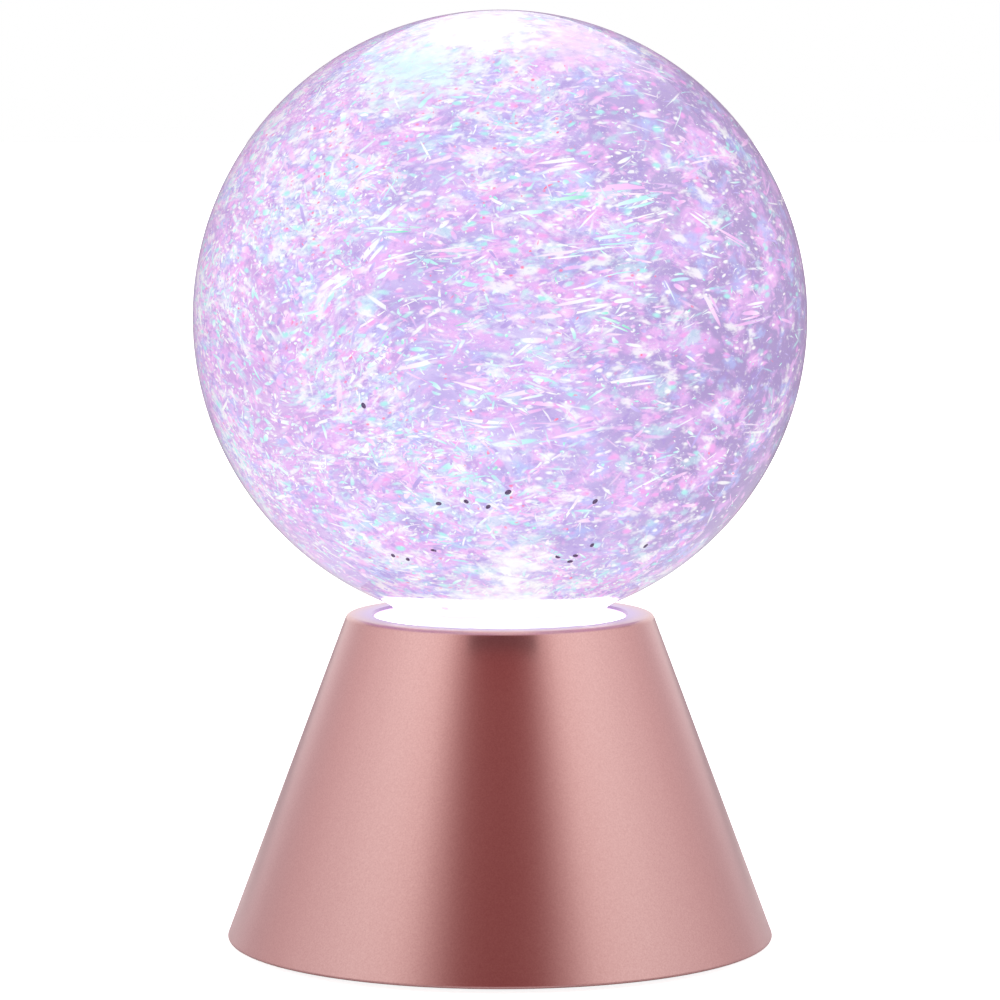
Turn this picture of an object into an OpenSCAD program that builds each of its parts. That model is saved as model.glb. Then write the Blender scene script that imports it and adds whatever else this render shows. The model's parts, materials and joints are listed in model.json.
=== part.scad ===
// Glitter ball lamp: a clear globe of liquid and glitter, standing by its neck in a cone base.
// The base holds the lights, a motor that turns a magnetic stirrer in the neck, and three AA cells.
// Millimetres. The origin is on the table under the globe's axis, +Z is up and -Y is the front.

/* [Globe] */
// Outside diameter of the globe
globe_d = 120; // [114:1:126]
// Wall of the globe
globe_wall = 2.2; // [1.8:0.1:2.8]
// How far the full ball would dip below the top face of the base
globe_dip = 1.9; // [1.2:0.1:2.6]
// Outside diameter of the neck
neck_d = 42; // [41:0.5:43]
// Wall of the neck
neck_wall = 2.4; // [2:0.1:2.8]
// How far the neck reaches below the top face of the base
neck_drop = 13; // [12:0.5:14]

/* [Base] */
// Diameter of the base at its lower edge
base_d = 108; // [106:1:116]
// Diameter of the cone where it would meet the top face
shoulder_d = 60.2; // [59:0.2:64]
// Height of the base from its lower edge to its top face
base_h = 64.1; // [62:0.1:74]
// Wall of the base
base_wall = 2.4; // [2:0.1:2.8]
// Radius of the rounded shoulder
shoulder_r = 1.2; // [0.8:0.1:2.4]
// Radius of the rounded lower edge
hem_r = 0.5; // [0.3:0.1:0.9]
// Diameter of the mouth in the top face
mouth_d = 49.6; // [49:0.2:50.6]
// Bevel on the edge of the mouth
mouth_bevel = 0.5; // [0.2:0.1:0.8]

/* [Feet] */
// Diameter of a rubber foot
foot_d = 9; // [7:0.5:10]
// How far the feet hold the base off the table
foot_stand = 1; // [0.8:0.1:2]
// Distance between a foot and the wall of the base
foot_edge = 2.2; // [1.5:0.1:3]

/* [Glitter] */
// Number of large flakes in the outermost liquid
flake_count = 260; // [100:20:400]
// Length of the longest flake
flake_l = 5.6; // [4:0.2:7]
// Width of the widest flake
flake_w = 1.5; // [1:0.1:2]

/* [Stirrer] */
// Diameter of the pin that the stirrer turns on
pin_d = 2; // [1.6:0.1:2.6]
// Diameter of the stirrer
stirrer_d = 26; // [24:0.5:28]
// Number of blades on the stirrer
blade_count = 6; // [4:1:8]
// Number of windows in the guard
window_count = 6; // [4:1:8]
// Diameter of a coupling magnet
magnet_d = 6; // [5:0.5:6.5]
// Thickness of a coupling magnet
magnet_h = 3; // [2:0.5:3]
// Number of coupling magnets on each side
magnet_count = 4; // [2:2:6]

/* [Drive] */
// Diameter of the motor
motor_d = 24.4; // [20:0.2:26]
// Room between the motor and the battery bay
motor_room = 6.7; // [6:0.1:9]
// Diameter of the motor's shaft
shaft_d = 2; // [1.5:0.1:2.3]

/* [Lights] */
// Number of lights under the neck
led_count = 6; // [3:1:12]
// Width of a light
led_w = 5; // [3:0.5:5]
// Height of a light
led_h = 1.6; // [1:0.1:1.8]

/* [Controls] */
// Height of the middle of the controls on the back
controls_z = 19; // [18:0.5:22]
// Travel of the switch
switch_travel = 4; // [3:0.5:4]
// Width of the power inlet
inlet_w = 8.9; // [7.5:0.1:9.5]
// Height of the power inlet
inlet_h = 3.2; // [2.6:0.1:4]

/* [Batteries] */
// Diameter of a cell
cell_d = 14.5; // [14:0.1:14.8]
// Length of a cell over its button
cell_l = 50.5; // [49.5:0.1:50.7]
// Thickness of the battery door
door_t = 2; // [1.8:0.1:2]

/* [Hidden] */
$fn = 96;

// Clearances: a turning fit, a sliding or drop-in fit, a fixed fit and a loose gap
turn_gap = 0.05;
slide_gap = 0.3;
fixed_gap = 0.03;
loose_gap = 0.6;
// Overlap of cutting tools past the face that they cut
eps = 1;

// Cone of the base
cone_slope = (base_d - shoulder_d) / 2 / base_h;
cone_a = atan(cone_slope);
z_hem = foot_stand;
z_rim = z_hem + base_h;
wall_x = base_wall / cos(cone_a);
mouth_r = mouth_d / 2;
function cone_r(z) = base_d / 2 - (z - z_hem) * cone_slope;
function inner_r(z) = cone_r(z) - wall_x;

// Points of an arc about c, from angle a0 to a1, in n steps
function arc(c, r, a0, a1, n) =
    [for (i = [0:n]) c + r * [cos(a0 + (a1 - a0) * i / n), sin(a0 + (a1 - a0) * i / n)]];
// Middle of a round of radius r that touches the cone, at height z
function round_mid(r, z) = [cone_r(z) - r / cos(cone_a), z];

// Globe and neck
globe_r = globe_d / 2;
globe_ri = globe_r - globe_wall;
z_globe = z_rim - globe_dip + globe_r;
neck_r = neck_d / 2;
neck_ri = neck_r - neck_wall;
z_neck_end = z_rim - neck_drop;
z_neck_top = z_globe - sqrt(globe_r * globe_r - neck_r * neck_r);
z_throat = z_globe - sqrt(globe_ri * globe_ri - neck_ri * neck_ri);

// Cap that closes the neck, and the ring of screws that holds cap and deck
gasket_t = 1;
cap_floor = 2.5;
cap_drop = 0.7;
z_cap_floor = z_neck_end - gasket_t;
z_cap_under = z_cap_floor - cap_floor;
cap_r = mouth_r - slide_gap - 0.1;
cap_ri = neck_r + 0.2;
stack_boss_r = 3;
stack_edge = 0.5;
flange_r = min(inner_r(z_cap_floor) - 1.2, mouth_r + 2 * stack_boss_r + 1.2);
stack_ring = flange_r - stack_boss_r - stack_edge;
stack_angles = [90, 210, 330];
stack_screw_r = 1.25;
stack_thread = 8;
fill_ring = 15;
fill_r = 1.4;
fill_angle = 30;

// Stirrer on its pin
pin_r = pin_d / 2;
pin_seat = 1.6;
thrust_h = 0.5;
thrust_r = 2.5;
z_stir = z_cap_floor + thrust_h + 0.1;
stir_disc_h = magnet_h + 1;
stir_hub_r = 3.2;
blade_t = 1.4;
blade_h = 6;
magnet_r = magnet_d / 2;
magnet_ring = 8.2;
blade_tip = stirrer_d / 2 - 0.2;
blade_curve = 0.29 * stirrer_d;

// Guard over the stirrer
guard_r = neck_ri - slide_gap;
guard_wall = 1.5;
guard_top_t = 1.8;
z_guard_top = z_throat - 1.2;
guard_hub_r = 3;
guard_hub_h = 3.6;
z_fluid = z_guard_top + 0.4;

// Flakes float between the body of the liquid and the wall, all round except over the guard
flake_t = 0.25;
flake_room = 0.4;
fluid_r = globe_ri - slide_gap - flake_room;
flake_turn = 137.508;
flake_sway = 25;
flake_lowest = (z_fluid - z_globe + flake_l / 2) / fluid_r;

// Controls on the back
land_depth = 0.6;
land_w = 15;
land_h = 22;
board_gap = 7.8;
control_w = 24;
control_low = -9;
control_high = 13;
control_boss_x = 9.2;
control_boss_y = 1;
control_boss_r = 2.6;
control_screw_r = 1;
control_thread = 3.4;
chip_w = 5;
chip_l = 6;
chip_h = 1.6;
chip_y = -0.5;
capacitor_r = 2.5;
capacitor_h = 6;
capacitor_y = 9;
switch_y = 6;
inlet_y = -4.5;
switch_w = 8.6;
switch_l = 4.4;
switch_top = 3.3;
stem_w = 2.2;
stem_l = 1.8;
stem_in = 5;
knob_w = 5;
knob_l = 4;
knob_out = 1.1;
inlet_in = 0.7;
inlet_wall = 0.35;

// Base plate and battery bay
plate_t = 2.5;
plate_in = 0.6;
z_plate = z_hem + plate_in;
plate_top = z_plate + plate_t;
plate_gap = 0.4;
plate_boss_r = 3.5;
plate_boss_h = 24;
plate_boss_x = control_w / 2 + plate_boss_r + 1.6;
plate_ring = inner_r(plate_top) - plate_boss_r - 4.7;
plate_angles = four(acos(plate_boss_x / plate_ring));
plate_screw_r = 1.35;
plate_screw_l = 11;
rib_t = 1.2;
rib_h = 4;
rib_x = 8;
rib_y = 12;
cell_r = cell_d / 2;
cell_count = 3;
cell_pitch = cell_d + loose_gap;
cell_gap = 0.5;
contact_room = 2.75;
contact_t = 0.4;
contact_w = 10;
contact_reach = contact_room - contact_t - 0.1;
z_cell = z_plate + door_t + cell_gap + cell_r;
bay_x = cell_l / 2 + contact_room;
bay_y = cell_count * cell_pitch / 2 + 0.1;
bay_wall = 1.5;
bay_roof_t = 1.5;
z_bay_roof = z_cell + cell_r + cell_gap;
z_bay_top = z_bay_roof + bay_roof_t;
door_ledge = 1;
door_x = bay_x + door_ledge - slide_gap;
door_y = bay_y + door_ledge - slide_gap;

// Feet stand clear of the door and its frame
foot_seat = 1;
foot_r = foot_d / 2;
foot_ring = inner_r(z_plate) - foot_r - foot_edge;
foot_angles = four(asin((bay_y + door_ledge + foot_r + 1.2) / foot_ring));

// Hinge pins along one edge of the battery door, and the latch at the other
hinge_x = -(door_x - door_t / 2);
z_hinge = z_plate + door_t / 2;
knuckle_r = 0.45 * door_t;
hinge_pin_r = 0.3 * door_t;
hinge_pin_l = 1.6;
tongue_x = door_x + 5.3;
tongue_w = 12;
pocket_x = door_x + 8.3;
pocket_y = tongue_w / 2 + slide_gap;
pocket_wall = 1.2;
z_pocket = z_plate + 11;
latch_t = 1;
latch_w = 8;
latch_r = 2.4;
latch_x = door_x + 4.7;
z_latch = z_plate + 7.4;
nib = 1;
catch_w = 0.8;
catch_z = z_plate + 1.3;
catch_h = 1.3;

// Lights, deck and motor hang under the cap
board_t = 1.6;
z_led_board = z_cap_under - 0.4 - led_h - board_t;
standoff_h = 3.4;
deck_t = 2;
z_deck = z_led_board - standoff_h - deck_t;
deck_top = z_deck + deck_t;
rotor_r = 12.4;
z_rotor = deck_top + 1.7;
rotor_h = z_cap_under - loose_gap - z_rotor;
led_board_ri = rotor_r + 1.3;
led_board_r = stack_ring - stack_boss_r - 0.9;
led_ring = led_board_ri + 1.2 + led_w / 2;
led_screw_r = 1;
led_screw_ring = led_board_r - 2.2;
led_screw_angles = [30, 150, 270];
standoff_r = 2.2;
motor_r = motor_d / 2;
z_motor = z_bay_top + motor_room;
motor_h = z_deck - z_motor;
shaft_r = shaft_d / 2;
nose_r = 3;
nose_h = 1.6;
tail_r = 4;
tail_h = 1.2;
motor_screw_r = 1;
motor_screw_x = 7.5;
motor_thread = 2.6;
led_thread = 3;

// Insulated leads between the control board and the batteries, the motor and the lights
lead_t = 1.2;
tag_x = 5;
tag_y = 8;
tag_w = 2.8;
tag_t = 0.5;
tag_h = 2.6;
tail_w = 3;
tail_out = 2.5;
board_in = board_gap + board_t;
battery_pad_x = control_w / 2 - 1.5;
battery_pad_y = 8;
motor_pad_y = 7;
light_pad_x = 8;
lead_bow = 10;
lead_lift = 3;

// Upright round rod standing on z = 0
module rod(r, h) {
    cylinder(r = r, h = h);
}

// Ring of rectangular section
module ring(r, ri, h) {
    difference() {
        cylinder(r = r, h = h);
        translate([0, 0, -eps]) cylinder(r = ri, h = h + 2 * eps);
    }
}

// Copies on a circle of radius r at the listed angles
module around(r, angles) {
    for (a = angles) rotate([0, 0, a]) translate([r, 0, 0]) children();
}

// Angles of n even steps, and of four places that mirror each other
function steps(n) = [for (i = [0:n - 1]) i * 360 / n];
function four(a) = [a, 180 - a, 180 + a, 360 - a];

// Radius and height of the head of a screw with a given shank
function head_r(shank_r) = 1.9 * shank_r;
function head_h(shank_r) = 1.1 * shank_r;

// Pan-head screw: the head stands on z = 0 and the shank runs down
module screw(shank_r, shank_l) {
    cross_l = 1.3 * head_r(shank_r);
    cross_w = 0.4 * shank_r;
    difference() {
        rod(head_r(shank_r), head_h(shank_r));
        for (a = [0, 90]) rotate([0, 0, a])
            translate([-cross_l / 2, -cross_w / 2, head_h(shank_r) / 2]) cube([cross_l, cross_w, head_h(shank_r)]);
    }
    translate([0, 0, -shank_l]) rod(shank_r, shank_l + 0.1);
}

// Frame on the back of the cone: local +Z points out of the wall and +Y up the slope
module at_back() {
    translate([0, cone_r(controls_z), controls_z]) rotate([90 - cone_a, 0, 180]) children();
}

// Point of the frame on the back, in the lamp's frame
function back_point(x, y, z) = [
    -x,
    cone_r(controls_z) - y * sin(cone_a) + z * cos(cone_a),
    controls_z + y * cos(cone_a) + z * sin(cone_a)
];

// Points of a smooth curve from p[0] to p[3], drawn towards p[1] and p[2]
function curve(p, n) = [for (i = [0:n]) let(t = i / n, u = 1 - t)
    u * u * u * p[0] + 3 * u * u * t * p[1] + 3 * u * t * t * p[2] + t * t * t * p[3]];
// Normal of the stretch from a to b, and the mitred normal at point i of a path
function normal(a, b) = [a[1] - b[1], b[0] - a[0]] / norm(b - a);
function mitre(p, i) =
    let(last = len(p) - 1)
    let(n0 = normal(p[max(i, 1) - 1], p[max(i, 1)]))
    let(n1 = normal(p[min(i, last - 1)], p[min(i, last - 1) + 1]))
    (n0 + n1) / (1 + n0 * n1);
// Outline of a band of thickness t along a path
function band(p, t) = concat(
    [for (i = [0:len(p) - 1]) p[i] + mitre(p, i) * t / 2],
    [for (i = [len(p) - 1:-1:0]) p[i] - mitre(p, i) * t / 2]
);

// Lead from point a to point b in the upright plane through both; each end leaves along its [run, rise]
module lead(a, b, leave_a, leave_b) {
    run = norm([b[0] - a[0], b[1] - a[1]]);
    start = [0, a[2]];
    end = [run, b[2]];
    path = curve([start, start + leave_a, end + leave_b, end], 14);
    translate([a[0], a[1], 0]) rotate([90, 0, atan2(b[1] - a[1], b[0] - a[0])])
        translate([0, 0, -lead_t / 2]) linear_extrude(lead_t) polygon(band(path, lead_t));
}

// Slot outline with round ends, w long and h high
module slot(w, h) {
    mid = (w - h) / 2;
    polygon(concat(arc([mid, 0], h / 2, -90, 90, 8), arc([-mid, 0], h / 2, 90, 270, 8)));
}

// Solid cone a given distance inside the outer face of the base
module cone_core(inset) {
    side = inset / cos(cone_a);
    translate([0, 0, z_hem])
        cylinder(r1 = base_d / 2 - side, r2 = shoulder_d / 2 - side, h = base_h - inset);
}

// Section of the base wall: hem, cone, shoulder, top face, mouth and inner face
module shell_section() {
    inner_top = z_rim - base_wall;
    polygon(concat(
        arc(round_mid(hem_r, z_hem + hem_r), hem_r, -90, cone_a, 6),
        arc(round_mid(shoulder_r, z_rim - shoulder_r), shoulder_r, cone_a, 90, 10),
        [
            [mouth_r + mouth_bevel, z_rim],
            [mouth_r, z_rim - mouth_bevel],
            [mouth_r, inner_top],
            [inner_r(inner_top), inner_top],
            [inner_r(z_hem), z_hem]
        ]
    ));
}

// Bosses inside the base: for the plate, for cap and deck, and for the control board
module shell_bosses() {
    around(plate_ring, plate_angles) translate([0, 0, plate_top]) rod(plate_boss_r, plate_boss_h);
    around(stack_ring, stack_angles)
        translate([0, 0, z_cap_floor]) rod(stack_boss_r, z_rim - z_cap_floor);
    at_back() for (x = [-1, 1])
        translate([x * control_boss_x, control_boss_y, -board_gap]) rod(control_boss_r, board_gap);
}

// Pilot holes for the screws in the bosses
module shell_pilots() {
    around(plate_ring, plate_angles)
        translate([0, 0, plate_top - eps]) rod(plate_screw_r + fixed_gap, plate_screw_l + eps);
    around(stack_ring, stack_angles)
        translate([0, 0, z_cap_floor - eps]) rod(stack_screw_r + fixed_gap, stack_thread + 1 + eps);
    at_back() for (x = [-1, 1])
        translate([x * control_boss_x, control_boss_y, -board_gap - eps])
            rod(control_screw_r + fixed_gap, control_thread + 0.6 + eps);
}

// Flat land on the back with the openings for switch and inlet
module shell_openings() {
    stem_slot = stem_w + switch_travel + 2 * slide_gap;
    at_back() {
        translate([-land_w / 2, -land_h / 2, -land_depth]) cube([land_w, land_h, land_depth + eps]);
        translate([-stem_slot / 2, switch_y - stem_l / 2 - slide_gap, -base_wall - eps])
            cube([stem_slot, stem_l + 2 * slide_gap, base_wall + eps]);
        translate([0, inlet_y, -base_wall - eps])
            linear_extrude(base_wall + eps) slot(inlet_w + 2 * slide_gap, inlet_h + 2 * slide_gap);
    }
}

// Painted cone that stands on the table and carries everything else
module base_shell() {
    color("#c48f8a") difference() {
        union() {
            rotate_extrude() shell_section();
            intersection() {
                shell_bosses();
                cone_core(base_wall / 2);
            }
        }
        shell_pilots();
        shell_openings();
    }
}

// Clear ball blown in one with its neck
module globe() {
    color("#cdb4f0", 0.4) difference() {
        union() {
            translate([0, 0, z_globe]) sphere(r = globe_r);
            translate([0, 0, z_neck_end]) rod(neck_r, z_neck_top + globe_wall - z_neck_end);
        }
        translate([0, 0, z_globe]) sphere(r = globe_ri);
        translate([0, 0, z_neck_end - eps]) rod(neck_ri, z_throat - z_neck_end + globe_wall + eps);
    }
}

// Liquid with its glitter, down to the guard over the stirrer
module glitter_fluid() {
    color("#c9aef2") difference() {
        translate([0, 0, z_globe]) sphere(r = fluid_r);
        translate([0, 0, z_fluid - globe_r]) rod(globe_r, globe_r);
    }
}

// One leaf of film, lying across its own Y
module flake(l, w) {
    linear_extrude(flake_t)
        polygon([[0, -l / 2], [w / 2, -l / 4], [w / 2, l / 4], [0, l / 2], [-w / 2, l / 4], [-w / 2, -l / 4]]);
}

// Large flakes of the glitter, carried round by the stirred liquid; no two neighbours are the same size
module glitter_flakes() {
    step = (1 - flake_lowest) / flake_count;
    color("#f3d3fa") translate([0, 0, z_globe]) for (i = [0 : flake_count - 1]) {
        size = 0.45 + 0.55 * pow(sin(i * 73), 2);
        slim = 0.55 + 0.45 * pow(sin(i * 41), 2);
        rotate([0, acos(1 - step * (i + 0.5)), i * flake_turn])
            translate([0, 0, fluid_r + turn_gap]) rotate(flake_sway * sin(i * 97))
                flake(flake_l * size, flake_w * slim);
    }
}

// Translucent cup that closes the neck; its rim is the bright ring in the mouth of the base
module neck_cap() {
    color("#f6f2ff") difference() {
        union() {
            translate([0, 0, z_cap_under]) rod(flange_r, cap_floor);
            translate([0, 0, z_cap_under]) rod(cap_r, z_rim - cap_drop - z_cap_under);
        }
        difference() {
            translate([0, 0, z_cap_floor]) rod(cap_ri, neck_drop + gasket_t + eps);
            translate([0, 0, z_cap_floor]) rod(thrust_r, thrust_h);
        }
        translate([0, 0, z_cap_floor - pin_seat]) rod(pin_r + fixed_gap, pin_seat + eps);
        around(stack_ring, stack_angles)
            translate([0, 0, z_cap_under - eps]) rod(stack_screw_r + 0.2, cap_floor + 2 * eps);
        around(fill_ring, [fill_angle])
            translate([0, 0, z_cap_under - eps]) rod(fill_r + fixed_gap, cap_floor + 2 * eps);
    }
}

// Rubber ring squeezed between the end of the neck and the floor of the cap
module neck_gasket() {
    color("#2b2b2b") translate([0, 0, z_cap_floor]) ring(neck_r, neck_ri, gasket_t);
}

// Rubber stopper in the hole that the liquid was filled through
module fill_plug() {
    color("#2b2b2b") around(fill_ring, [fill_angle]) translate([0, 0, z_cap_under]) rod(fill_r, cap_floor);
}

// Steel pin pressed into the cap and steadied by the guard
module impeller_pin() {
    bottom = z_cap_floor - pin_seat;
    color("#c8ccd0") translate([0, 0, bottom]) rod(pin_r, z_guard_top - 0.3 - bottom);
}

// Blade of the stirrer: part of a ring, so that it curves back from the hub to the tip
module blade() {
    intersection() {
        rod(blade_tip, blade_h + 0.1);
        translate([blade_curve + pin_r, 0, -eps])
            ring(blade_curve + blade_t / 2, blade_curve - blade_t / 2, blade_h + 3 * eps);
        translate([0, 0, -eps]) cube([stirrer_d, stirrer_d, blade_h + 3 * eps]);
    }
}

// Stirrer: a disc that holds the magnets, a hub and curved blades
module impeller() {
    color("#e6e8ea") difference() {
        union() {
            translate([0, 0, z_stir]) rod(stirrer_d / 2, stir_disc_h);
            translate([0, 0, z_stir]) rod(stir_hub_r, stir_disc_h + blade_h + 0.4);
            for (a = steps(blade_count)) rotate([0, 0, a])
                translate([0, 0, z_stir + stir_disc_h - 0.1]) blade();
        }
        translate([0, 0, z_stir - eps]) rod(pin_r + turn_gap, stir_disc_h + blade_h + 2 * eps);
        around(magnet_ring, steps(magnet_count))
            translate([0, 0, z_stir - eps]) rod(magnet_r + fixed_gap, magnet_h + eps);
    }
}

// Disc magnets in the underside of the stirrer
module impeller_magnets() {
    color("#9aa0a6") around(magnet_ring, steps(magnet_count)) translate([0, 0, z_stir]) rod(magnet_r, magnet_h);
}

// Slotted cage over the stirrer, standing on the floor of the cap
module impeller_guard() {
    height = z_guard_top - z_cap_floor;
    window_w = 7;
    slot_in = guard_hub_r + 1.5;
    slot_out = guard_r - guard_wall - 1;
    color("#eef0f4", 0.7) difference() {
        union() {
            translate([0, 0, z_cap_floor]) difference() {
                rod(guard_r, height);
                translate([0, 0, -eps]) rod(guard_r - guard_wall, height - guard_top_t + eps);
            }
            translate([0, 0, z_guard_top - guard_hub_h]) rod(guard_hub_r, guard_hub_h);
        }
        for (a = steps(window_count)) rotate([0, 0, a])
            translate([guard_r - 2 * guard_wall, -window_w / 2, z_cap_floor + 3])
                cube([3 * guard_wall, window_w, height - 7]);
        for (a = steps(2 * window_count)) rotate([0, 0, a])
            translate([slot_in, -1, z_guard_top - guard_top_t - eps])
                cube([slot_out - slot_in, 2, guard_top_t + 2 * eps]);
        translate([0, 0, z_guard_top - guard_hub_h - eps]) rod(pin_r + fixed_gap, guard_hub_h + 2 * eps);
    }
}

// Chassis plate under the cap: posts for the long screws, stand-offs for the light board
module drive_deck() {
    color("#3a3c40") difference() {
        union() {
            translate([0, 0, z_deck]) rod(flange_r, deck_t);
            around(stack_ring, stack_angles) translate([0, 0, z_deck]) rod(stack_boss_r, z_cap_under - z_deck);
            around(led_screw_ring, led_screw_angles)
                translate([0, 0, z_deck]) rod(standoff_r, deck_t + standoff_h);
        }
        translate([0, 0, z_deck - eps]) rod(nose_r + slide_gap, deck_t + 2 * eps);
        for (x = [-1, 1])
            translate([x * motor_screw_x, 0, z_deck - eps]) rod(motor_screw_r + 0.15, deck_t + 2 * eps);
        around(stack_ring, stack_angles)
            translate([0, 0, z_deck - eps]) rod(stack_screw_r + 0.2, z_cap_under - z_deck + 2 * eps);
        around(led_screw_ring, led_screw_angles)
            translate([0, 0, deck_top - 0.5]) rod(led_screw_r + fixed_gap, standoff_h + eps);
    }
}

// Long screws from under the deck, through its posts and the cap, into the base
module stack_screws() {
    color("#b9bec4") around(stack_ring, stack_angles)
        translate([0, 0, z_deck]) mirror([0, 0, 1])
            screw(stack_screw_r, z_cap_floor - z_deck + stack_thread);
}

// Flat motor with bearing noses at both ends
module motor_can() {
    color("#b4b8bc") difference() {
        union() {
            translate([0, 0, z_motor]) rod(motor_r, motor_h);
            translate([0, 0, z_motor]) rod(nose_r, motor_h + nose_h);
            translate([0, 0, z_motor - tail_h]) rod(tail_r, tail_h + 0.1);
        }
        translate([0, 0, z_motor - tail_h - eps]) rod(shaft_r + turn_gap, motor_h + nose_h + tail_h + 2 * eps);
        for (x = [-1, 1])
            translate([x * motor_screw_x, 0, z_deck - motor_thread - 0.9])
                rod(motor_screw_r + fixed_gap, motor_thread + 0.9 + eps);
    }
}

// Solder tags under the motor
module motor_terminals() {
    color("#caa65a") for (x = [-1, 1])
        translate([x * tag_x - tag_w / 2, tag_y - tag_t / 2, z_motor - tag_h]) cube([tag_w, tag_t, tag_h]);
}

// Shaft through the motor, up into the magnet rotor
module motor_shaft() {
    bottom = z_motor - tail_h - 0.6;
    color("#c8ccd0") translate([0, 0, bottom]) rod(shaft_r, z_rotor + rotor_h - 0.4 - bottom);
}

// Screws from the deck into the face of the motor
module motor_screws() {
    color("#b9bec4") for (x = [-1, 1])
        translate([x * motor_screw_x, 0, deck_top]) screw(motor_screw_r, deck_t + motor_thread);
}

// Disc on the motor shaft that carries the driving magnets
module magnet_rotor() {
    color("#50545a") difference() {
        translate([0, 0, z_rotor]) rod(rotor_r, rotor_h);
        translate([0, 0, z_rotor - eps]) rod(shaft_r + fixed_gap, rotor_h + 2 * eps);
        around(magnet_ring, steps(magnet_count))
            translate([0, 0, z_rotor + rotor_h - magnet_h]) rod(magnet_r + fixed_gap, magnet_h + eps);
    }
}

// Disc magnets in the top of the rotor
module drive_magnets() {
    color("#9aa0a6") around(magnet_ring, steps(magnet_count))
        translate([0, 0, z_rotor + rotor_h - magnet_h]) rod(magnet_r, magnet_h);
}

// Ring-shaped board with the lights
module led_board() {
    color("#f2f2ee") difference() {
        translate([0, 0, z_led_board]) ring(led_board_r, led_board_ri, board_t);
        around(led_screw_ring, led_screw_angles)
            translate([0, 0, z_led_board - eps]) rod(led_screw_r + 0.15, board_t + 2 * eps);
    }
}

// Lights, each with a round well in its top
module leds() {
    color("#fff6c8") around(led_ring, steps(led_count)) translate([0, 0, z_led_board + board_t]) difference() {
        translate([-led_w / 2, -led_w / 2, 0]) cube([led_w, led_w, led_h]);
        translate([0, 0, led_h - 0.3]) rod(led_w * 0.38, eps);
    }
}

// Screws that hold the light board on its stand-offs
module led_board_screws() {
    color("#b9bec4") around(led_screw_ring, led_screw_angles)
        translate([0, 0, z_led_board + board_t]) screw(led_screw_r, board_t + led_thread);
}

// Board behind the controls
module control_board() {
    color("#1f7a4d") at_back() difference() {
        translate([-control_w / 2, control_low, -board_gap - board_t])
            cube([control_w, control_high - control_low, board_t]);
        for (x = [-1, 1])
            translate([x * control_boss_x, control_boss_y, -board_gap - board_t - eps])
                rod(control_screw_r + 0.15, board_t + 2 * eps);
    }
}

// Controller chip and capacitor on the inner side of the board
module board_components() {
    color("#26282c") at_back() {
        translate([-chip_w / 2, chip_y - chip_l / 2, -board_in - chip_h]) cube([chip_w, chip_l, chip_h]);
        translate([0, capacitor_y, -board_in - capacitor_h]) rod(capacitor_r, capacitor_h);
    }
}

// Screws that hold the control board on its bosses
module control_board_screws() {
    color("#b9bec4") at_back() for (x = [-1, 1])
        translate([x * control_boss_x, control_boss_y, -board_gap - board_t]) mirror([0, 0, 1])
            screw(control_screw_r, board_t + control_thread);
}

// Metal case of the slide switch, with a slot for the stem
module switch_body() {
    well = stem_w + switch_travel + 2 * slide_gap;
    color("#c2c6ca") at_back() difference() {
        translate([-switch_w / 2, switch_y - switch_l / 2, -board_gap])
            cube([switch_w, switch_l, board_gap - switch_top]);
        translate([-well / 2, switch_y - stem_l / 2 - slide_gap, -stem_in - slide_gap])
            cube([well, stem_l + 2 * slide_gap, stem_in]);
    }
}

// Stem and ridged knob of the switch, at the lit end of its travel
module switch_slider() {
    ridge_w = 0.7;
    color("#2e2f33") at_back() translate([-switch_travel / 2, switch_y, 0]) difference() {
        union() {
            translate([-stem_w / 2, -stem_l / 2, -stem_in]) cube([stem_w, stem_l, stem_in - 0.2]);
            translate([-knob_w / 2, -knob_l / 2, -land_depth + 0.2])
                cube([knob_w, knob_l, knob_out + land_depth - 0.2]);
        }
        for (x = [-1:1])
            translate([x * 2 * ridge_w - ridge_w / 2, -knob_l, knob_out - 0.4])
                cube([ridge_w, 2 * knob_l, eps]);
    }
}

// Metal shell of the power inlet, standing on the board
module inlet_shell() {
    color("#c2c6ca") at_back() translate([0, inlet_y, -board_gap]) difference() {
        linear_extrude(board_gap - inlet_in) slot(inlet_w, inlet_h);
        translate([0, 0, 0.8])
            linear_extrude(board_gap) slot(inlet_w - 2 * inlet_wall, inlet_h - 2 * inlet_wall);
    }
}

// Contact tongue in the middle of the inlet
module inlet_tongue() {
    tongue = inlet_w - 2.4;
    color("#26282c") at_back() translate([-tongue / 2, inlet_y - 0.35, 0.8 - board_gap])
        cube([tongue, 0.7, 4.6]);
}

// Ribs that stiffen the plate between the battery bay and its rim
module plate_ribs() {
    reach = plate_ring - plate_boss_r;
    for (a = [0, 180]) rotate([0, 0, a]) for (s = [-1, 1]) {
        translate([s * rib_x - rib_t / 2, bay_y, plate_top - 1]) cube([rib_t, reach - bay_y, rib_h + 1]);
        translate([bay_x, s * rib_y - rib_t / 2, plate_top - 1]) cube([reach - bay_x, rib_t, rib_h + 1]);
    }
}

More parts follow.
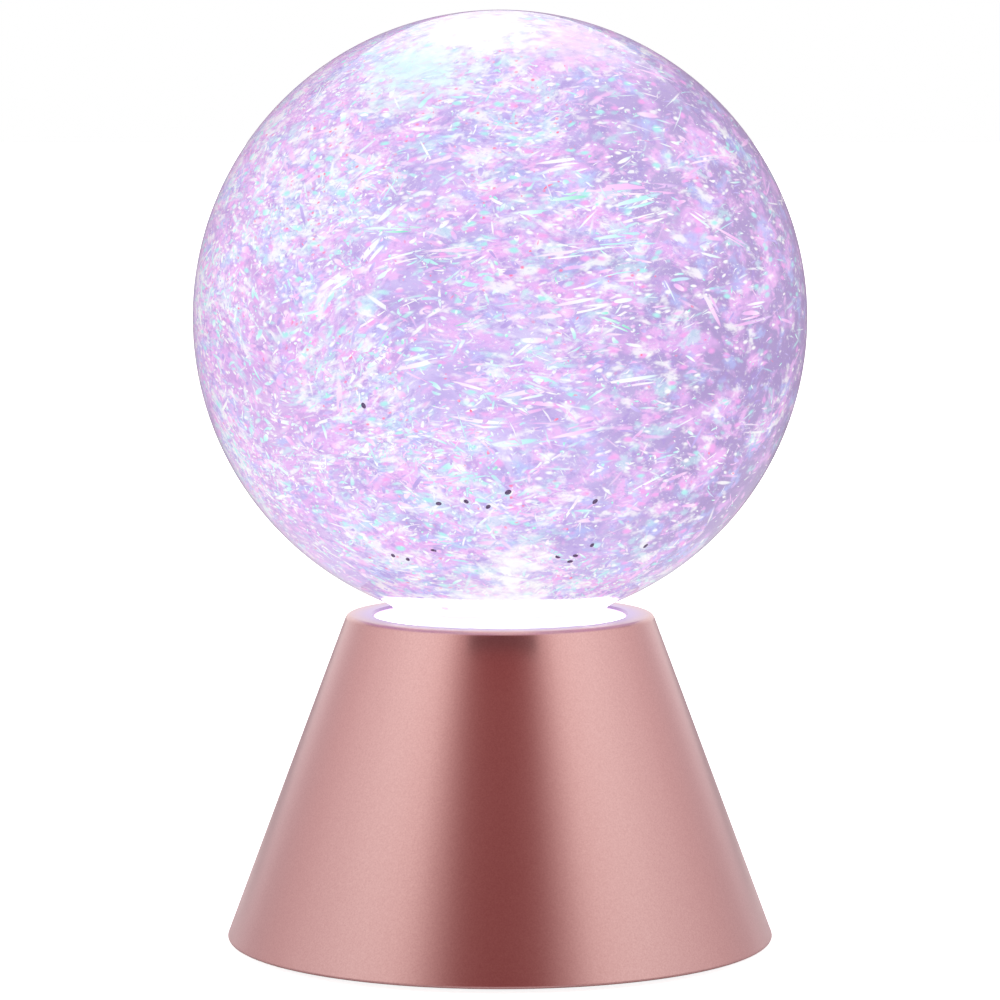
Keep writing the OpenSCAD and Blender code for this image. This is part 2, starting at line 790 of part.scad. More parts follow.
// Underside of the base with the battery bay, the latch pocket, ribs and the seats of the feet
module base_plate() {
    color("#303236") difference() {
        union() {
            translate([0, 0, z_plate])
                cylinder(r1 = inner_r(z_plate) - plate_gap, r2 = inner_r(plate_top) - plate_gap, h = plate_t);
            translate([-bay_x - bay_wall, -bay_y - bay_wall, plate_top - 1])
                cube([2 * (bay_x + bay_wall), 2 * (bay_y + bay_wall), z_bay_top - plate_top + 1]);
            plate_ribs();
            translate([bay_x, -pocket_y - pocket_wall, plate_top - 1])
                cube([pocket_x + pocket_wall - bay_x, 2 * (pocket_y + pocket_wall),
                      z_pocket + pocket_wall - plate_top + 1]);
        }
        translate([-bay_x, -bay_y, z_plate]) cube([2 * bay_x, 2 * bay_y, z_bay_roof - z_plate]);
        translate([-bay_x - door_ledge, -bay_y - door_ledge, z_plate - eps])
            cube([2 * (bay_x + door_ledge), 2 * (bay_y + door_ledge), door_t + 0.05 + eps]);
        hinge_rod(hinge_pin_r + turn_gap, door_y + hinge_pin_l + slide_gap);
        latch_pocket();
        for (end = [-1, 1]) at_bay_end(end, cell_y(single_cell(end)))
            translate([0, -tail_w / 2 - slide_gap, 0])
                cube([contact_t + slide_gap, tail_w + 2 * slide_gap, z_bay_roof - z_cell + bay_roof_t + eps]);
        around(plate_ring, plate_angles) {
            translate([0, 0, z_plate - eps]) rod(plate_screw_r + 0.25, plate_t + 2 * eps);
            translate([0, 0, z_plate - eps]) rod(head_r(plate_screw_r) + slide_gap, head_h(plate_screw_r) + 0.1 + eps);
        }
        around(foot_ring, foot_angles) translate([0, 0, z_plate - eps]) rod(foot_r + 0.2, foot_seat + eps);
    }
}

// Space that the door's tongue and latch stand in, less the catch that the latch hooks over
module latch_pocket() {
    start = bay_x + bay_wall;
    difference() {
        union() {
            translate([start, -pocket_y, z_plate - eps])
                cube([pocket_x - start, 2 * pocket_y, z_pocket - z_plate + eps]);
            translate([bay_x, -pocket_y, z_plate - eps])
                cube([pocket_x - bay_x, 2 * pocket_y, door_t + 0.05 + eps]);
        }
        translate([pocket_x - catch_w, -pocket_y - eps, catch_z])
            cube([catch_w + eps, 2 * (pocket_y + eps), catch_h]);
    }
}

// Screws that hold the base plate on the bosses of the base
module base_plate_screws() {
    color("#b9bec4") around(plate_ring, plate_angles)
        translate([0, 0, z_plate + head_h(plate_screw_r) + 0.1]) mirror([0, 0, 1])
            screw(plate_screw_r, plate_screw_l);
}

// Rubber feet pressed into their seats in the base plate
module rubber_feet() {
    bevel = 0.5;
    foot_h = z_plate + foot_seat;
    color("#1d1d1f") around(foot_ring, foot_angles) rotate_extrude()
        polygon([[0, 0], [foot_r - bevel, 0], [foot_r, bevel], [foot_r, foot_h], [0, foot_h]]);
}

// Rod along the hinge, reaching the same way to both sides
module hinge_rod(r, reach) {
    translate([hinge_x, reach, z_hinge]) rotate([90, 0, 0]) rod(r, 2 * reach);
}

// Door of the battery bay, with a knuckle and pins at the hinge, a tongue for the latch and grip grooves
module battery_door() {
    color("#3a3c41") difference() {
        union() {
            translate([hinge_x, -door_y, z_plate]) cube([door_x - hinge_x, 2 * door_y, door_t]);
            translate([0, -tongue_w / 2, z_plate]) cube([tongue_x, tongue_w, door_t]);
            hinge_rod(knuckle_r, door_y);
            hinge_rod(hinge_pin_r, door_y + hinge_pin_l);
        }
        for (i = [0:2])
            translate([door_x - 8 + 3 * i, -tongue_w / 2 + 1, z_plate - eps])
                cube([1.2, tongue_w - 2, 0.6 + eps]);
    }
}

// Springy bow that hooks over the catch and is pressed in with a thumb
module door_latch() {
    foot_x = latch_x - latch_r;
    leg_x = latch_x + latch_r - latch_t;
    nib_z = catch_z + catch_h + 0.2;
    color("#3a3c41") translate([0, latch_w / 2, 0]) rotate([90, 0, 0]) linear_extrude(latch_w) {
        difference() {
            translate([latch_x, z_latch]) circle(r = latch_r);
            translate([latch_x, z_latch]) circle(r = latch_r - latch_t);
            translate([latch_x - 2 * latch_r, z_latch - 2 * latch_r]) square([4 * latch_r, 2 * latch_r]);
        }
        translate([foot_x, z_plate + door_t]) square([latch_t, z_latch - z_plate - door_t]);
        translate([leg_x, z_plate + 0.3]) square([latch_t, z_latch - z_plate - 0.3]);
        polygon([[leg_x, nib_z], [leg_x + latch_t + nib, nib_z], [leg_x + latch_t, nib_z + 2], [leg_x, nib_z + 2]]);
    }
}

// Middle of cell i across the bay, and the end of the bay that its button points to
function cell_y(i) = (i - (cell_count - 1) / 2) * cell_pitch;
function cell_end(i) = i % 2 == 0 ? 1 : -1;
// Cell whose contact at one end of the bay is an end of the chain
function single_cell(end) = end > 0 ? cell_count - 1 : 0;

// Three AA cells side by side, every second one turned round
module battery_cells() {
    button_l = 1.3;
    color("#8c8f96") for (i = [0:cell_count - 1])
        translate([0, cell_y(i), z_cell]) rotate([0, 90 * cell_end(i), 0]) translate([0, 0, -cell_l / 2]) {
            rod(cell_r, cell_l - button_l);
            translate([0, 0, cell_l - button_l - 0.1]) rod(2.7, button_l + 0.1);
        }
}

// Frame at one end of the bay: local +X points at the cells, x = 0 is the end wall
module at_bay_end(end, y) {
    translate([end * bay_x, y, z_cell]) rotate([0, 0, end > 0 ? 180 : 0]) children();
}

// Bowed strips that press on the flat ends of the cells
module contact_springs() {
    half = 4.5;
    bow_r = (half * half + contact_reach * contact_reach) / (2 * contact_reach);
    strip_w = 6;
    color("#d9c27a") for (i = [0:cell_count - 1]) at_bay_end(-cell_end(i), cell_y(i))
        translate([contact_t, strip_w / 2, 0]) rotate([90, 0, 0]) linear_extrude(strip_w) difference() {
            translate([contact_reach - bow_r, 0]) circle(r = bow_r);
            translate([contact_reach - bow_r, 0]) circle(r = bow_r - contact_t);
            translate([-4 * bow_r, -2 * bow_r]) square(4 * bow_r);
        }
}

// Plates on the end walls: two ends of the chain with solder tails, two bridges, a stud for each button
module contact_plates() {
    tail_l = z_bay_top + tail_out - z_cell;
    color("#cfd3d6") {
        for (end = [-1, 1]) {
            pair = end > 0 ? 0 : 1;
            at_bay_end(end, cell_y(single_cell(end))) {
                translate([0, -contact_w / 2, -contact_w / 2]) cube([contact_t, contact_w, contact_w]);
                translate([0, -tail_w / 2, 0]) cube([contact_t, tail_w, tail_l]);
            }
            at_bay_end(end, (cell_y(pair) + cell_y(pair + 1)) / 2)
                translate([0, -(cell_pitch + contact_w) / 2, -contact_w / 2])
                    cube([contact_t, cell_pitch + contact_w, contact_w]);
        }
        for (i = [0:cell_count - 1]) at_bay_end(cell_end(i), cell_y(i))
            rotate([0, 90, 0]) rod(2.4, contact_t + contact_reach);
    }
}

// The three leads on one side (+1 or -1): from the batteries, to the motor and to the lights
module leads(side) {
    light_x = light_pad_x + 1.25 * lead_t * side;
    light_to = [light_x, led_screw_ring - 2.5, z_led_board - lead_t / 2 - 0.1];
    light_from = back_point(-light_x, control_high - lead_t / 2, -board_in - 0.85 * lead_t);
    lead([side * (bay_x - contact_t - 0.75), cell_y(single_cell(side)), z_bay_top + 0.6 * tail_out],
         back_point(-side * battery_pad_x, battery_pad_y, -board_in - 0.8),
         [lead_bow, lead_lift], [-lead_bow, lead_lift]);
    lead([side * tag_x, tag_y + tag_t / 2 + 0.1, z_motor - 0.7 * tag_h],
         back_point(-side * tag_x, motor_pad_y, -board_in - 0.2), [lead_bow, 0], [-lead_bow / 2, 0]);
    lead(light_from, light_to, [-0.5, 1.1 * (light_to[2] - light_from[2])], [-1.2 * lead_bow, -0.8]);
}

// Positive leads
module leads_red() {
    color("#b3261e") leads(1);
}

// Negative leads
module leads_black() {
    color("#1b1b1d") leads(-1);
}

base_shell();
globe();
glitter_fluid();
glitter_flakes();
neck_cap();
neck_gasket();
fill_plug();
impeller_pin();
impeller();
impeller_magnets();
impeller_guard();
drive_deck();
stack_screws();
motor_can();
motor_terminals();
motor_shaft();
motor_screws();
magnet_rotor();
drive_magnets();
led_board();
leds();
led_board_screws();
control_board();
board_components();
control_board_screws();
switch_body();
switch_slider();
inlet_shell();
inlet_tongue();
base_plate();
base_plate_screws();
rubber_feet();
battery_door();
door_latch();
battery_cells();
contact_springs();
contact_plates();
leads_red();
leads_black();
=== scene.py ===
"""Glitter ball lamp: finishes, glitter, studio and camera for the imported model."""
import json
import math
import random

import bmesh
import bpy
from mathutils import Matrix, Vector


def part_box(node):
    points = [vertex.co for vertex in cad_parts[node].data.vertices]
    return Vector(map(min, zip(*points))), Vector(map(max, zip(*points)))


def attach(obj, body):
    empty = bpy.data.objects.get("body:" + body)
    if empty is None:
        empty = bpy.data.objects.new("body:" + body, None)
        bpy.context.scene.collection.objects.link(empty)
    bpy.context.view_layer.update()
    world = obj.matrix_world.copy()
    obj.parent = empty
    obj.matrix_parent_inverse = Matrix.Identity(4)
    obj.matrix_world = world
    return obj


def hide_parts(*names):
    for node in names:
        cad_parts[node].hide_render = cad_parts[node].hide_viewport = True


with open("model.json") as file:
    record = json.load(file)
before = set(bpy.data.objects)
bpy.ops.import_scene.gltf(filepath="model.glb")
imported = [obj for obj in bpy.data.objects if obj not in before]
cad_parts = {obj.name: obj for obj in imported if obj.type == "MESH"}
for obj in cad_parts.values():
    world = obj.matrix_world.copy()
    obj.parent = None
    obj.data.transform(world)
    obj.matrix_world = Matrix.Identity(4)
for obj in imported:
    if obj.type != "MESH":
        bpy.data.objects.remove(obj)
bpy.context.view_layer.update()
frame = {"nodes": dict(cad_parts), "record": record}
nodes = frame["nodes"]

MM = 0.001
GLOBE_LOW, GLOBE_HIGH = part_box("globe")
GLOBE_R = (GLOBE_HIGH.x - GLOBE_LOW.x) / 2
GLOBE_MID = Vector((0, 0, GLOBE_HIGH.z - GLOBE_R))
GLOBE_IOR = 1.36
NECK_R = 21.0 * MM
NECK_FOOT = GLOBE_LOW.z
SHELL_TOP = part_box("base_shell")[1].z
MOUTH_R = 25.0 * MM
UNDERSIDE_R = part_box("base_plate")[1].x
# The liquid stands just inside the wall; the flakes that show lie in its outermost part
LIQUID_LOW, LIQUID_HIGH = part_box("glitter_fluid")
LIQUID_R = LIQUID_HIGH.z - GLOBE_MID.z
FLAKES_IN = LIQUID_R + 0.04 * MM
FLAKES_TOP = LIQUID_R + 0.30 * MM
FLAKES_OUT = LIQUID_R + 0.36 * MM

# The photograph looks down on the lamp by this angle
VIEW_DOWN = math.radians(5.363)

# Sweep of the stirred liquid as seen from the front, as slopes: nearly level, rising a little towards the
# top, and steep in an eddy left of the middle of the front, whose place, width and reach are in millimetres
SWEEP_RISE = 0.02
SWEEP_LIFT = 0.003
EDDY_LEFT = 14.0
EDDY_WIDE = 14.0
EDDY_END = -54.0
EDDY_HIGH = -9.0
EDDY_REACH = 30.0
EDDY_BEND = 0.036
EDDY_FRONT = 15.0

# How bright the lit liquid and its film glow
GLOW = 1.07

# Haze of the liquid: its length and height (mm) and its place in the noise
HAZE_GRAIN = (15, 8, 0)
# Haze, painted shade at the right and pink tint at the left: colour, start and full (mm), how much it covers
HAZE_SHADE_AND_TINT = (
    ("#AA93C6", 0.0, 46.0, 0.84),
    ("#DEA6E2", -14.0, -46.0, 0.55),
)
# Random bends of the drifts: their size and their reach (mm)
SWIRL_SIZE, SWIRL_REACH = 26.0, 10.0
# Crowds of bright film: their size, from where they thin out to the right (mm) and how fast
CROWD_SIZE, CROWD_EDGE, CROWD_FALL = 24.0, -10.0, -0.003
# How much the crowds weigh in the drifts and flecks, and their level
CROWD_WEIGHT, CROWD_LEVEL = 0.26, -0.12
# Drifts in the liquid: length and height (mm), place in the noise, colour, the noise from which it shows and
# at which it shows most, and how much it covers there
DRIFTS = (
    (10.0, 5.5, 11, "#EDBAF7", 0.46, 0.63, 0.82),
    (4.6, 3.0, 23, "#F6C0F8", 0.50, 0.65, 0.78),
    (6.5, 4.0, 37, "#BAC6FB", 0.52, 0.67, 0.70),
    (2.2, 1.5, 31, "#B098DC", 0.52, 0.68, 0.58),
    (5.4, 2.8, 41, "#C8F6F8", 0.54, 0.67, 0.52),
    (5.0, 2.6, 59, "#FFFFFF", 0.54, 0.68, 0.74),
    (1.0, 0.6, 101, "#B9A3E4", 0.54, 0.70, 0.40),
    (0.8, 0.5, 113, "#F3EBFF", 0.55, 0.69, 0.50),
)
# Single pieces of film too deep to be flakes of their own: length, height (mm), place, colour, share left out
FLECKS = (
    (1.8, 0.8, 67, "#FFFFFF", 0.86),
    (2.6, 1.3, 71, "#F5AEF0", 0.86),
    (2.6, 1.2, 79, "#B2F0F0", 0.90),
    (1.0, 0.7, 83, "#FF86B4", 0.97),
)
# Edge and full middle of a fleck in its cell, how much it covers, and how softly it is chosen
FLECK_EDGE, FLECK_FULL, FLECK_MOST, FLECK_SOFT = 0.55, 0.15, 0.95, 0.05
# Blown-out places from the globe's middle (mm), with the reach of full and of any glare, its tint and
# its share
GLARES = (
    ((-15.0, -28.0, 49.0), 2.0, 15.0, "#DDFAFC", 0.80),
    ((13.5, -19.5, 54.0), 2.0, 15.0, "#FDDDFB", 0.75),
    ((-3.9, -18.0, 56.0), 6.0, 17.0, "#FFFFFF", 1.0),
    ((0.0, -25.0, -52.0), 1.0, 15.0, "#FFFFFF", 1.0),
    ((3.0, -36.0, -44.0), 0.0, 10.0, "#FFFFFF", 0.9),
    ((0.0, 0.0, -58.0), 23.0, 28.0, "#FFFFFF", 1.0),
)
# Noise that breaks up the edge of the glares: its length and height (mm), its place, and its reach (mm)
GLARE_GRAIN = (3.0, 1.8, 97)
GLARE_BREAK = 24.0
# Long threads of film across the front, as seen there: two ends from the globe's middle (mm), width, tint
THREADS = (
    (7.9, 26.4, 14.4, 27.5, 1.0, "white"), (9.9, 19.5, 15.2, 20.1, 1.0, "mint"),
    (22.0, 18.9, 28.8, 20.9, 1.2, "cyan"), (23.0, 15.6, 30.4, 17.7, 1.0, "white"),
    (18.7, 12.5, 25.7, 13.6, 1.0, "cyan"), (7.9, 9.1, 18.0, 10.4, 0.8, "white"),
    (16.0, 10.2, 27.4, 11.7, 0.7, "cyan"), (35.6, 17.5, 38.8, 15.4, 0.8, "white"),
    (40.7, 15.0, 45.6, 12.7, 0.7, "pink"), (15.2, 21.4, 30.8, 22.8, 1.8, "pink"),
    (7.9, -2.2, 18.7, 0.0, 1.6, "white"), (38.2, 1.9, 40.7, -2.6, 1.3, "pink"),
    (44.6, -2.9, 50.8, -1.0, 0.9, "pink"), (46.6, 1.0, 49.5, 1.7, 0.7, "white"),
    (36.6, 27.7, 42.7, 29.2, 0.8, "pink"), (31.9, 5.0, 34.7, 5.4, 1.0, "cyan"),
    (21.2, 0.8, 23.9, 1.2, 1.1, "white"), (19.0, -2.2, 23.5, -3.9, 0.8, "mint"),
    (-23.8, 14.4, -15.5, 14.4, 0.9, "mint"), (-21.9, 7.2, -10.0, 10.2, 1.0, "white"),
    (-12.0, 10.0, 0.2, 10.5, 1.1, "pink"), (-40.2, -27.3, -22.0, -25.4, 1.0, "cyan"),
    (-35.5, -28.5, -31.6, -28.9, 1.1, "white"), (-10.2, -32.4, -3.2, -31.2, 0.9, "cyan"),
    (-21.3, -32.4, -4.3, -31.4, 0.7, "pink"), (-26.0, 8.0, -22.5, 12.0, 1.6, "white"),
    (-33.0, 3.5, -27.5, 7.0, 1.6, "white"), (1.5, -16.5, 9.0, -15.0, 1.2, "white"),
    (-8.0, -20.5, 0.0, -21.5, 1.0, "white"), (10.5, -24.0, 17.0, -22.6, 1.0, "pink"),
    (-18.0, -11.5, -10.5, -9.5, 1.2, "white"), (20.5, -14.0, 28.0, -12.8, 1.0, "white"),
)
# Dark specks on the inside of the wall, as seen from the front (mm)
SPECKS = (
    (-11.4, -36.3), (-6.3, -35.9), (-2.2, -36.9), (1.5, -34.2), (17.7, -35.9), (-25.2, -18.2), (-12.5, -45.1),
    (-20.2, -46.1), (-17.4, -46.8), (10.9, -46.3), (13.2, -47.2), (14.2, -46.1), (17.3, -44.1), (27.6, -44.3),
)


# Helpers

def colour(code):
    """sRGB hex to the linear values that shaders take."""
    parts = [int(code[i:i + 2], 16) / 255 for i in (1, 3, 5)]
    return tuple(c / 12.92 if c <= 0.04045 else ((c + 0.055) / 1.055) ** 2.4 for c in parts) + (1.0,)


def per_mm(size):
    """Texture scale for a pattern whose features are this many millimetres wide."""
    return 1.0 / (size * MM)


def add_node(tree, kind, inputs=(), **settings):
    """Adds one node: settings are its properties, inputs are values or the outputs that feed it."""
    new = tree.nodes.new("ShaderNode" + kind)
    for name, value in settings.items():
        setattr(new, name, value)
    for name, value in dict(inputs).items():
        if isinstance(value, bpy.types.NodeSocket):
            tree.links.new(value, new.inputs[name])
        else:
            new.inputs[name].default_value = value
    return new


def new_material(name, **sockets):
    """A material with its shader's plain sockets set; returns it with its tree and shader."""
    made = bpy.data.materials.new(name)
    made.use_nodes = True
    shader = made.node_tree.nodes["Principled BSDF"]
    for socket, value in sockets.items():
        shader.inputs[socket.replace("_", " ")].default_value = value
    return made, made.node_tree, shader


def ramp(tree, source, stops, **settings):
    """Colour ramp through (position, hex colour) stops; returns its colour."""
    made = add_node(tree, "ValToRGB", {"Fac": source})
    band = made.color_ramp
    for name, value in settings.items():
        setattr(band, name, value)
    while len(band.elements) < len(stops):
        band.elements.new(0.5)
    for element, (place, code) in zip(band.elements, stops):
        element.position = place
        element.color = colour(code)
    return made.outputs["Color"]


def new_mesh(name, mesh_maker, material, smooth):
    """Builds an object with bmesh."""
    mesh = bpy.data.meshes.new(name)
    bm = bmesh.new()
    mesh_maker(bm)
    bm.to_mesh(mesh)
    bm.free()
    if smooth:
        mesh.polygons.foreach_set("use_smooth", [True] * len(mesh.polygons))
    mesh.materials.append(material)
    made = bpy.data.objects.new(name, mesh)
    bpy.context.scene.collection.objects.link(made)
    return made


def new_piece(name, mesh_maker, material, smooth=True):
    """Builds a piece of the lamp; all of them ride on its fixed body."""
    made = new_mesh(name, mesh_maker, material, smooth)
    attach(made, "lamp")
    return made


def new_stage(name, mesh_maker, material):
    """Builds a thing of the studio, which is no part of the lamp."""
    made = new_mesh(name, mesh_maker, material, False)
    return made


def turned(profile, steps):
    """Mesh maker for a closed body turned about the lamp's axis; the profile starts and ends on the axis."""
    def make(bm):
        low = bm.verts.new((0, 0, profile[0][1]))
        top = bm.verts.new((0, 0, profile[-1][1]))
        rings = []
        for r, z in profile[1:-1]:
            turns = [2 * math.pi * i / steps for i in range(steps)]
            rings.append([bm.verts.new((r * math.cos(t), r * math.sin(t), z)) for t in turns])
        for i in range(steps):
            k = (i + 1) % steps
            bm.faces.new((low, rings[0][k], rings[0][i]))
            bm.faces.new((top, rings[-1][i], rings[-1][k]))
            for under, over in zip(rings, rings[1:]):
                bm.faces.new((under[i], under[k], over[k], over[i]))
    return make


# Finishes

# Paint: size of its flake, drawn larger than life, and of its uneven patches (mm), and its least and greatest
# roughness
PAINT_FLAKE, PAINT_PATCH = 0.3, 22
PAINT_ROUGH = (0.27, 0.29)
# Painted shade on the paint: its tone at the foot and at the top, darker towards the foot
FOOT_PAINTED_SHADE, TOP_PAINTED_SHADE = 0.90, 1.05
# Lilac sheen on the paint round the mouth: where it ends and is full, outwards and downwards
SHEEN_OUT, SHEEN_OUT_FULL = MOUTH_R + 5 * MM, MOUTH_R + 1 * MM
SHEEN_LOW, SHEEN_LOW_FULL = SHELL_TOP - 2 * MM, SHELL_TOP - 1 * MM
# How much the sheen tints the paint, and how much it glows
SHEEN_TINT, SHEEN_GLOW = 0.5, 0.12


def satin_metallic_paint():
    """ABS sprayed with satin rose-gold paint: its flake gives broad soft streaks and a fine grain."""
    made, tree, shader = new_material("ABS sprayed with satin rose-gold paint", Metallic=1.0,
                                      Emission_Color=colour("#8F74FF"))
    place = add_node(tree, "TexCoord").outputs["Object"]
    height = add_node(tree, "SeparateXYZ", {0: place}).outputs[2]
    # paint flake is about 0.05 mm; it is drawn at 0.3 mm, the finest that shows
    flake = add_node(tree, "TexNoise", {"Vector": place, "Scale": per_mm(PAINT_FLAKE), "Detail": 2.0})
    drift = add_node(tree, "TexNoise", {"Vector": place, "Scale": per_mm(PAINT_PATCH), "Detail": 2.0})
    grain = ramp(tree, flake.outputs["Fac"], [(0.25, "#CC9E9B"), (0.5, "#D3A7A4"), (0.75, "#DAB0AD")])
    # painted shade: the paint is drawn darker towards the foot and a little lighter at the top
    foot = add_node(tree, "MapRange", {"Value": height, "From Max": SHELL_TOP,
                                       "To Min": FOOT_PAINTED_SHADE, "To Max": TOP_PAINTED_SHADE})
    paint = add_node(tree, "HueSaturation", {"Color": grain, "Value": foot.outputs["Result"]}).outputs[0]
    # the lit liquid throws a lilac sheen on the flat top round the mouth
    flat = add_node(tree, "VectorMath", {0: place, 1: (1, 1, 0)}, operation="MULTIPLY").outputs[0]
    out = add_node(tree, "VectorMath", {0: flat}, operation="LENGTH").outputs["Value"]
    near = add_node(tree, "MapRange", {"Value": out, "From Min": SHEEN_OUT, "From Max": SHEEN_OUT_FULL})
    high = add_node(tree, "MapRange", {"Value": height, "From Min": SHEEN_LOW, "From Max": SHEEN_LOW_FULL,
                                       "To Max": near.outputs["Result"]})
    sheen = high.outputs["Result"]
    lilac = add_node(tree, "Math", {0: sheen, 1: SHEEN_TINT}, operation="MULTIPLY").outputs[0]
    paint = add_node(tree, "Mix", {0: lilac, 6: paint, 7: colour("#9E8FD0")}, data_type="RGBA").outputs[2]
    glow = add_node(tree, "Math", {0: sheen, 1: SHEEN_GLOW}, operation="MULTIPLY").outputs[0]
    soft = add_node(tree, "MapRange", {"Value": drift.outputs["Fac"],
                                       "To Min": PAINT_ROUGH[0], "To Max": PAINT_ROUGH[1]})
    bump = add_node(tree, "Bump", {"Height": flake.outputs["Fac"], "Strength": 0.03, "Distance": 0.05 * MM})
    tree.links.new(paint, shader.inputs["Base Color"])
    tree.links.new(glow, shader.inputs["Emission Strength"])
    tree.links.new(soft.outputs["Result"], shader.inputs["Roughness"])
    tree.links.new(bump.outputs["Normal"], shader.inputs["Normal"])
    return made


# Faint smears on the globe: their size (mm) and the greatest roughness that they leave
SMEAR_SIZE, SMEAR_ROUGH = 30, 0.02


def polished_globe():
    """Clear polished globe full of liquid: one bright skin, and the light bends at it as it does in water."""
    made, tree, shader = new_material("Clear polished acrylic globe", Transmission_Weight=1.0, IOR=GLOBE_IOR)
    place = add_node(tree, "TexCoord").outputs["Object"]
    # handling leaves faint smears
    smear = add_node(tree, "TexNoise", {"Vector": place, "Scale": per_mm(SMEAR_SIZE), "Detail": 3.0})
    skin = add_node(tree, "MapRange", {"Value": smear.outputs["Fac"], "From Min": 0.4, "From Max": 0.8,
                                       "To Min": 0.0, "To Max": SMEAR_ROUGH})
    # light runs a longer way through the wall at the rim, which greys it
    slant = add_node(tree, "LayerWeight", {"Blend": 0.5}).outputs["Facing"]
    wall = ramp(tree, slant, [(0.80, "#FFFFFF"), (0.88, "#F2EEF8"), (0.94, "#BDB6C6"), (1.0, "#746D7C")])
    tree.links.new(wall, shader.inputs["Base Color"])
    tree.links.new(skin.outputs["Result"], shader.inputs["Roughness"])
    return made


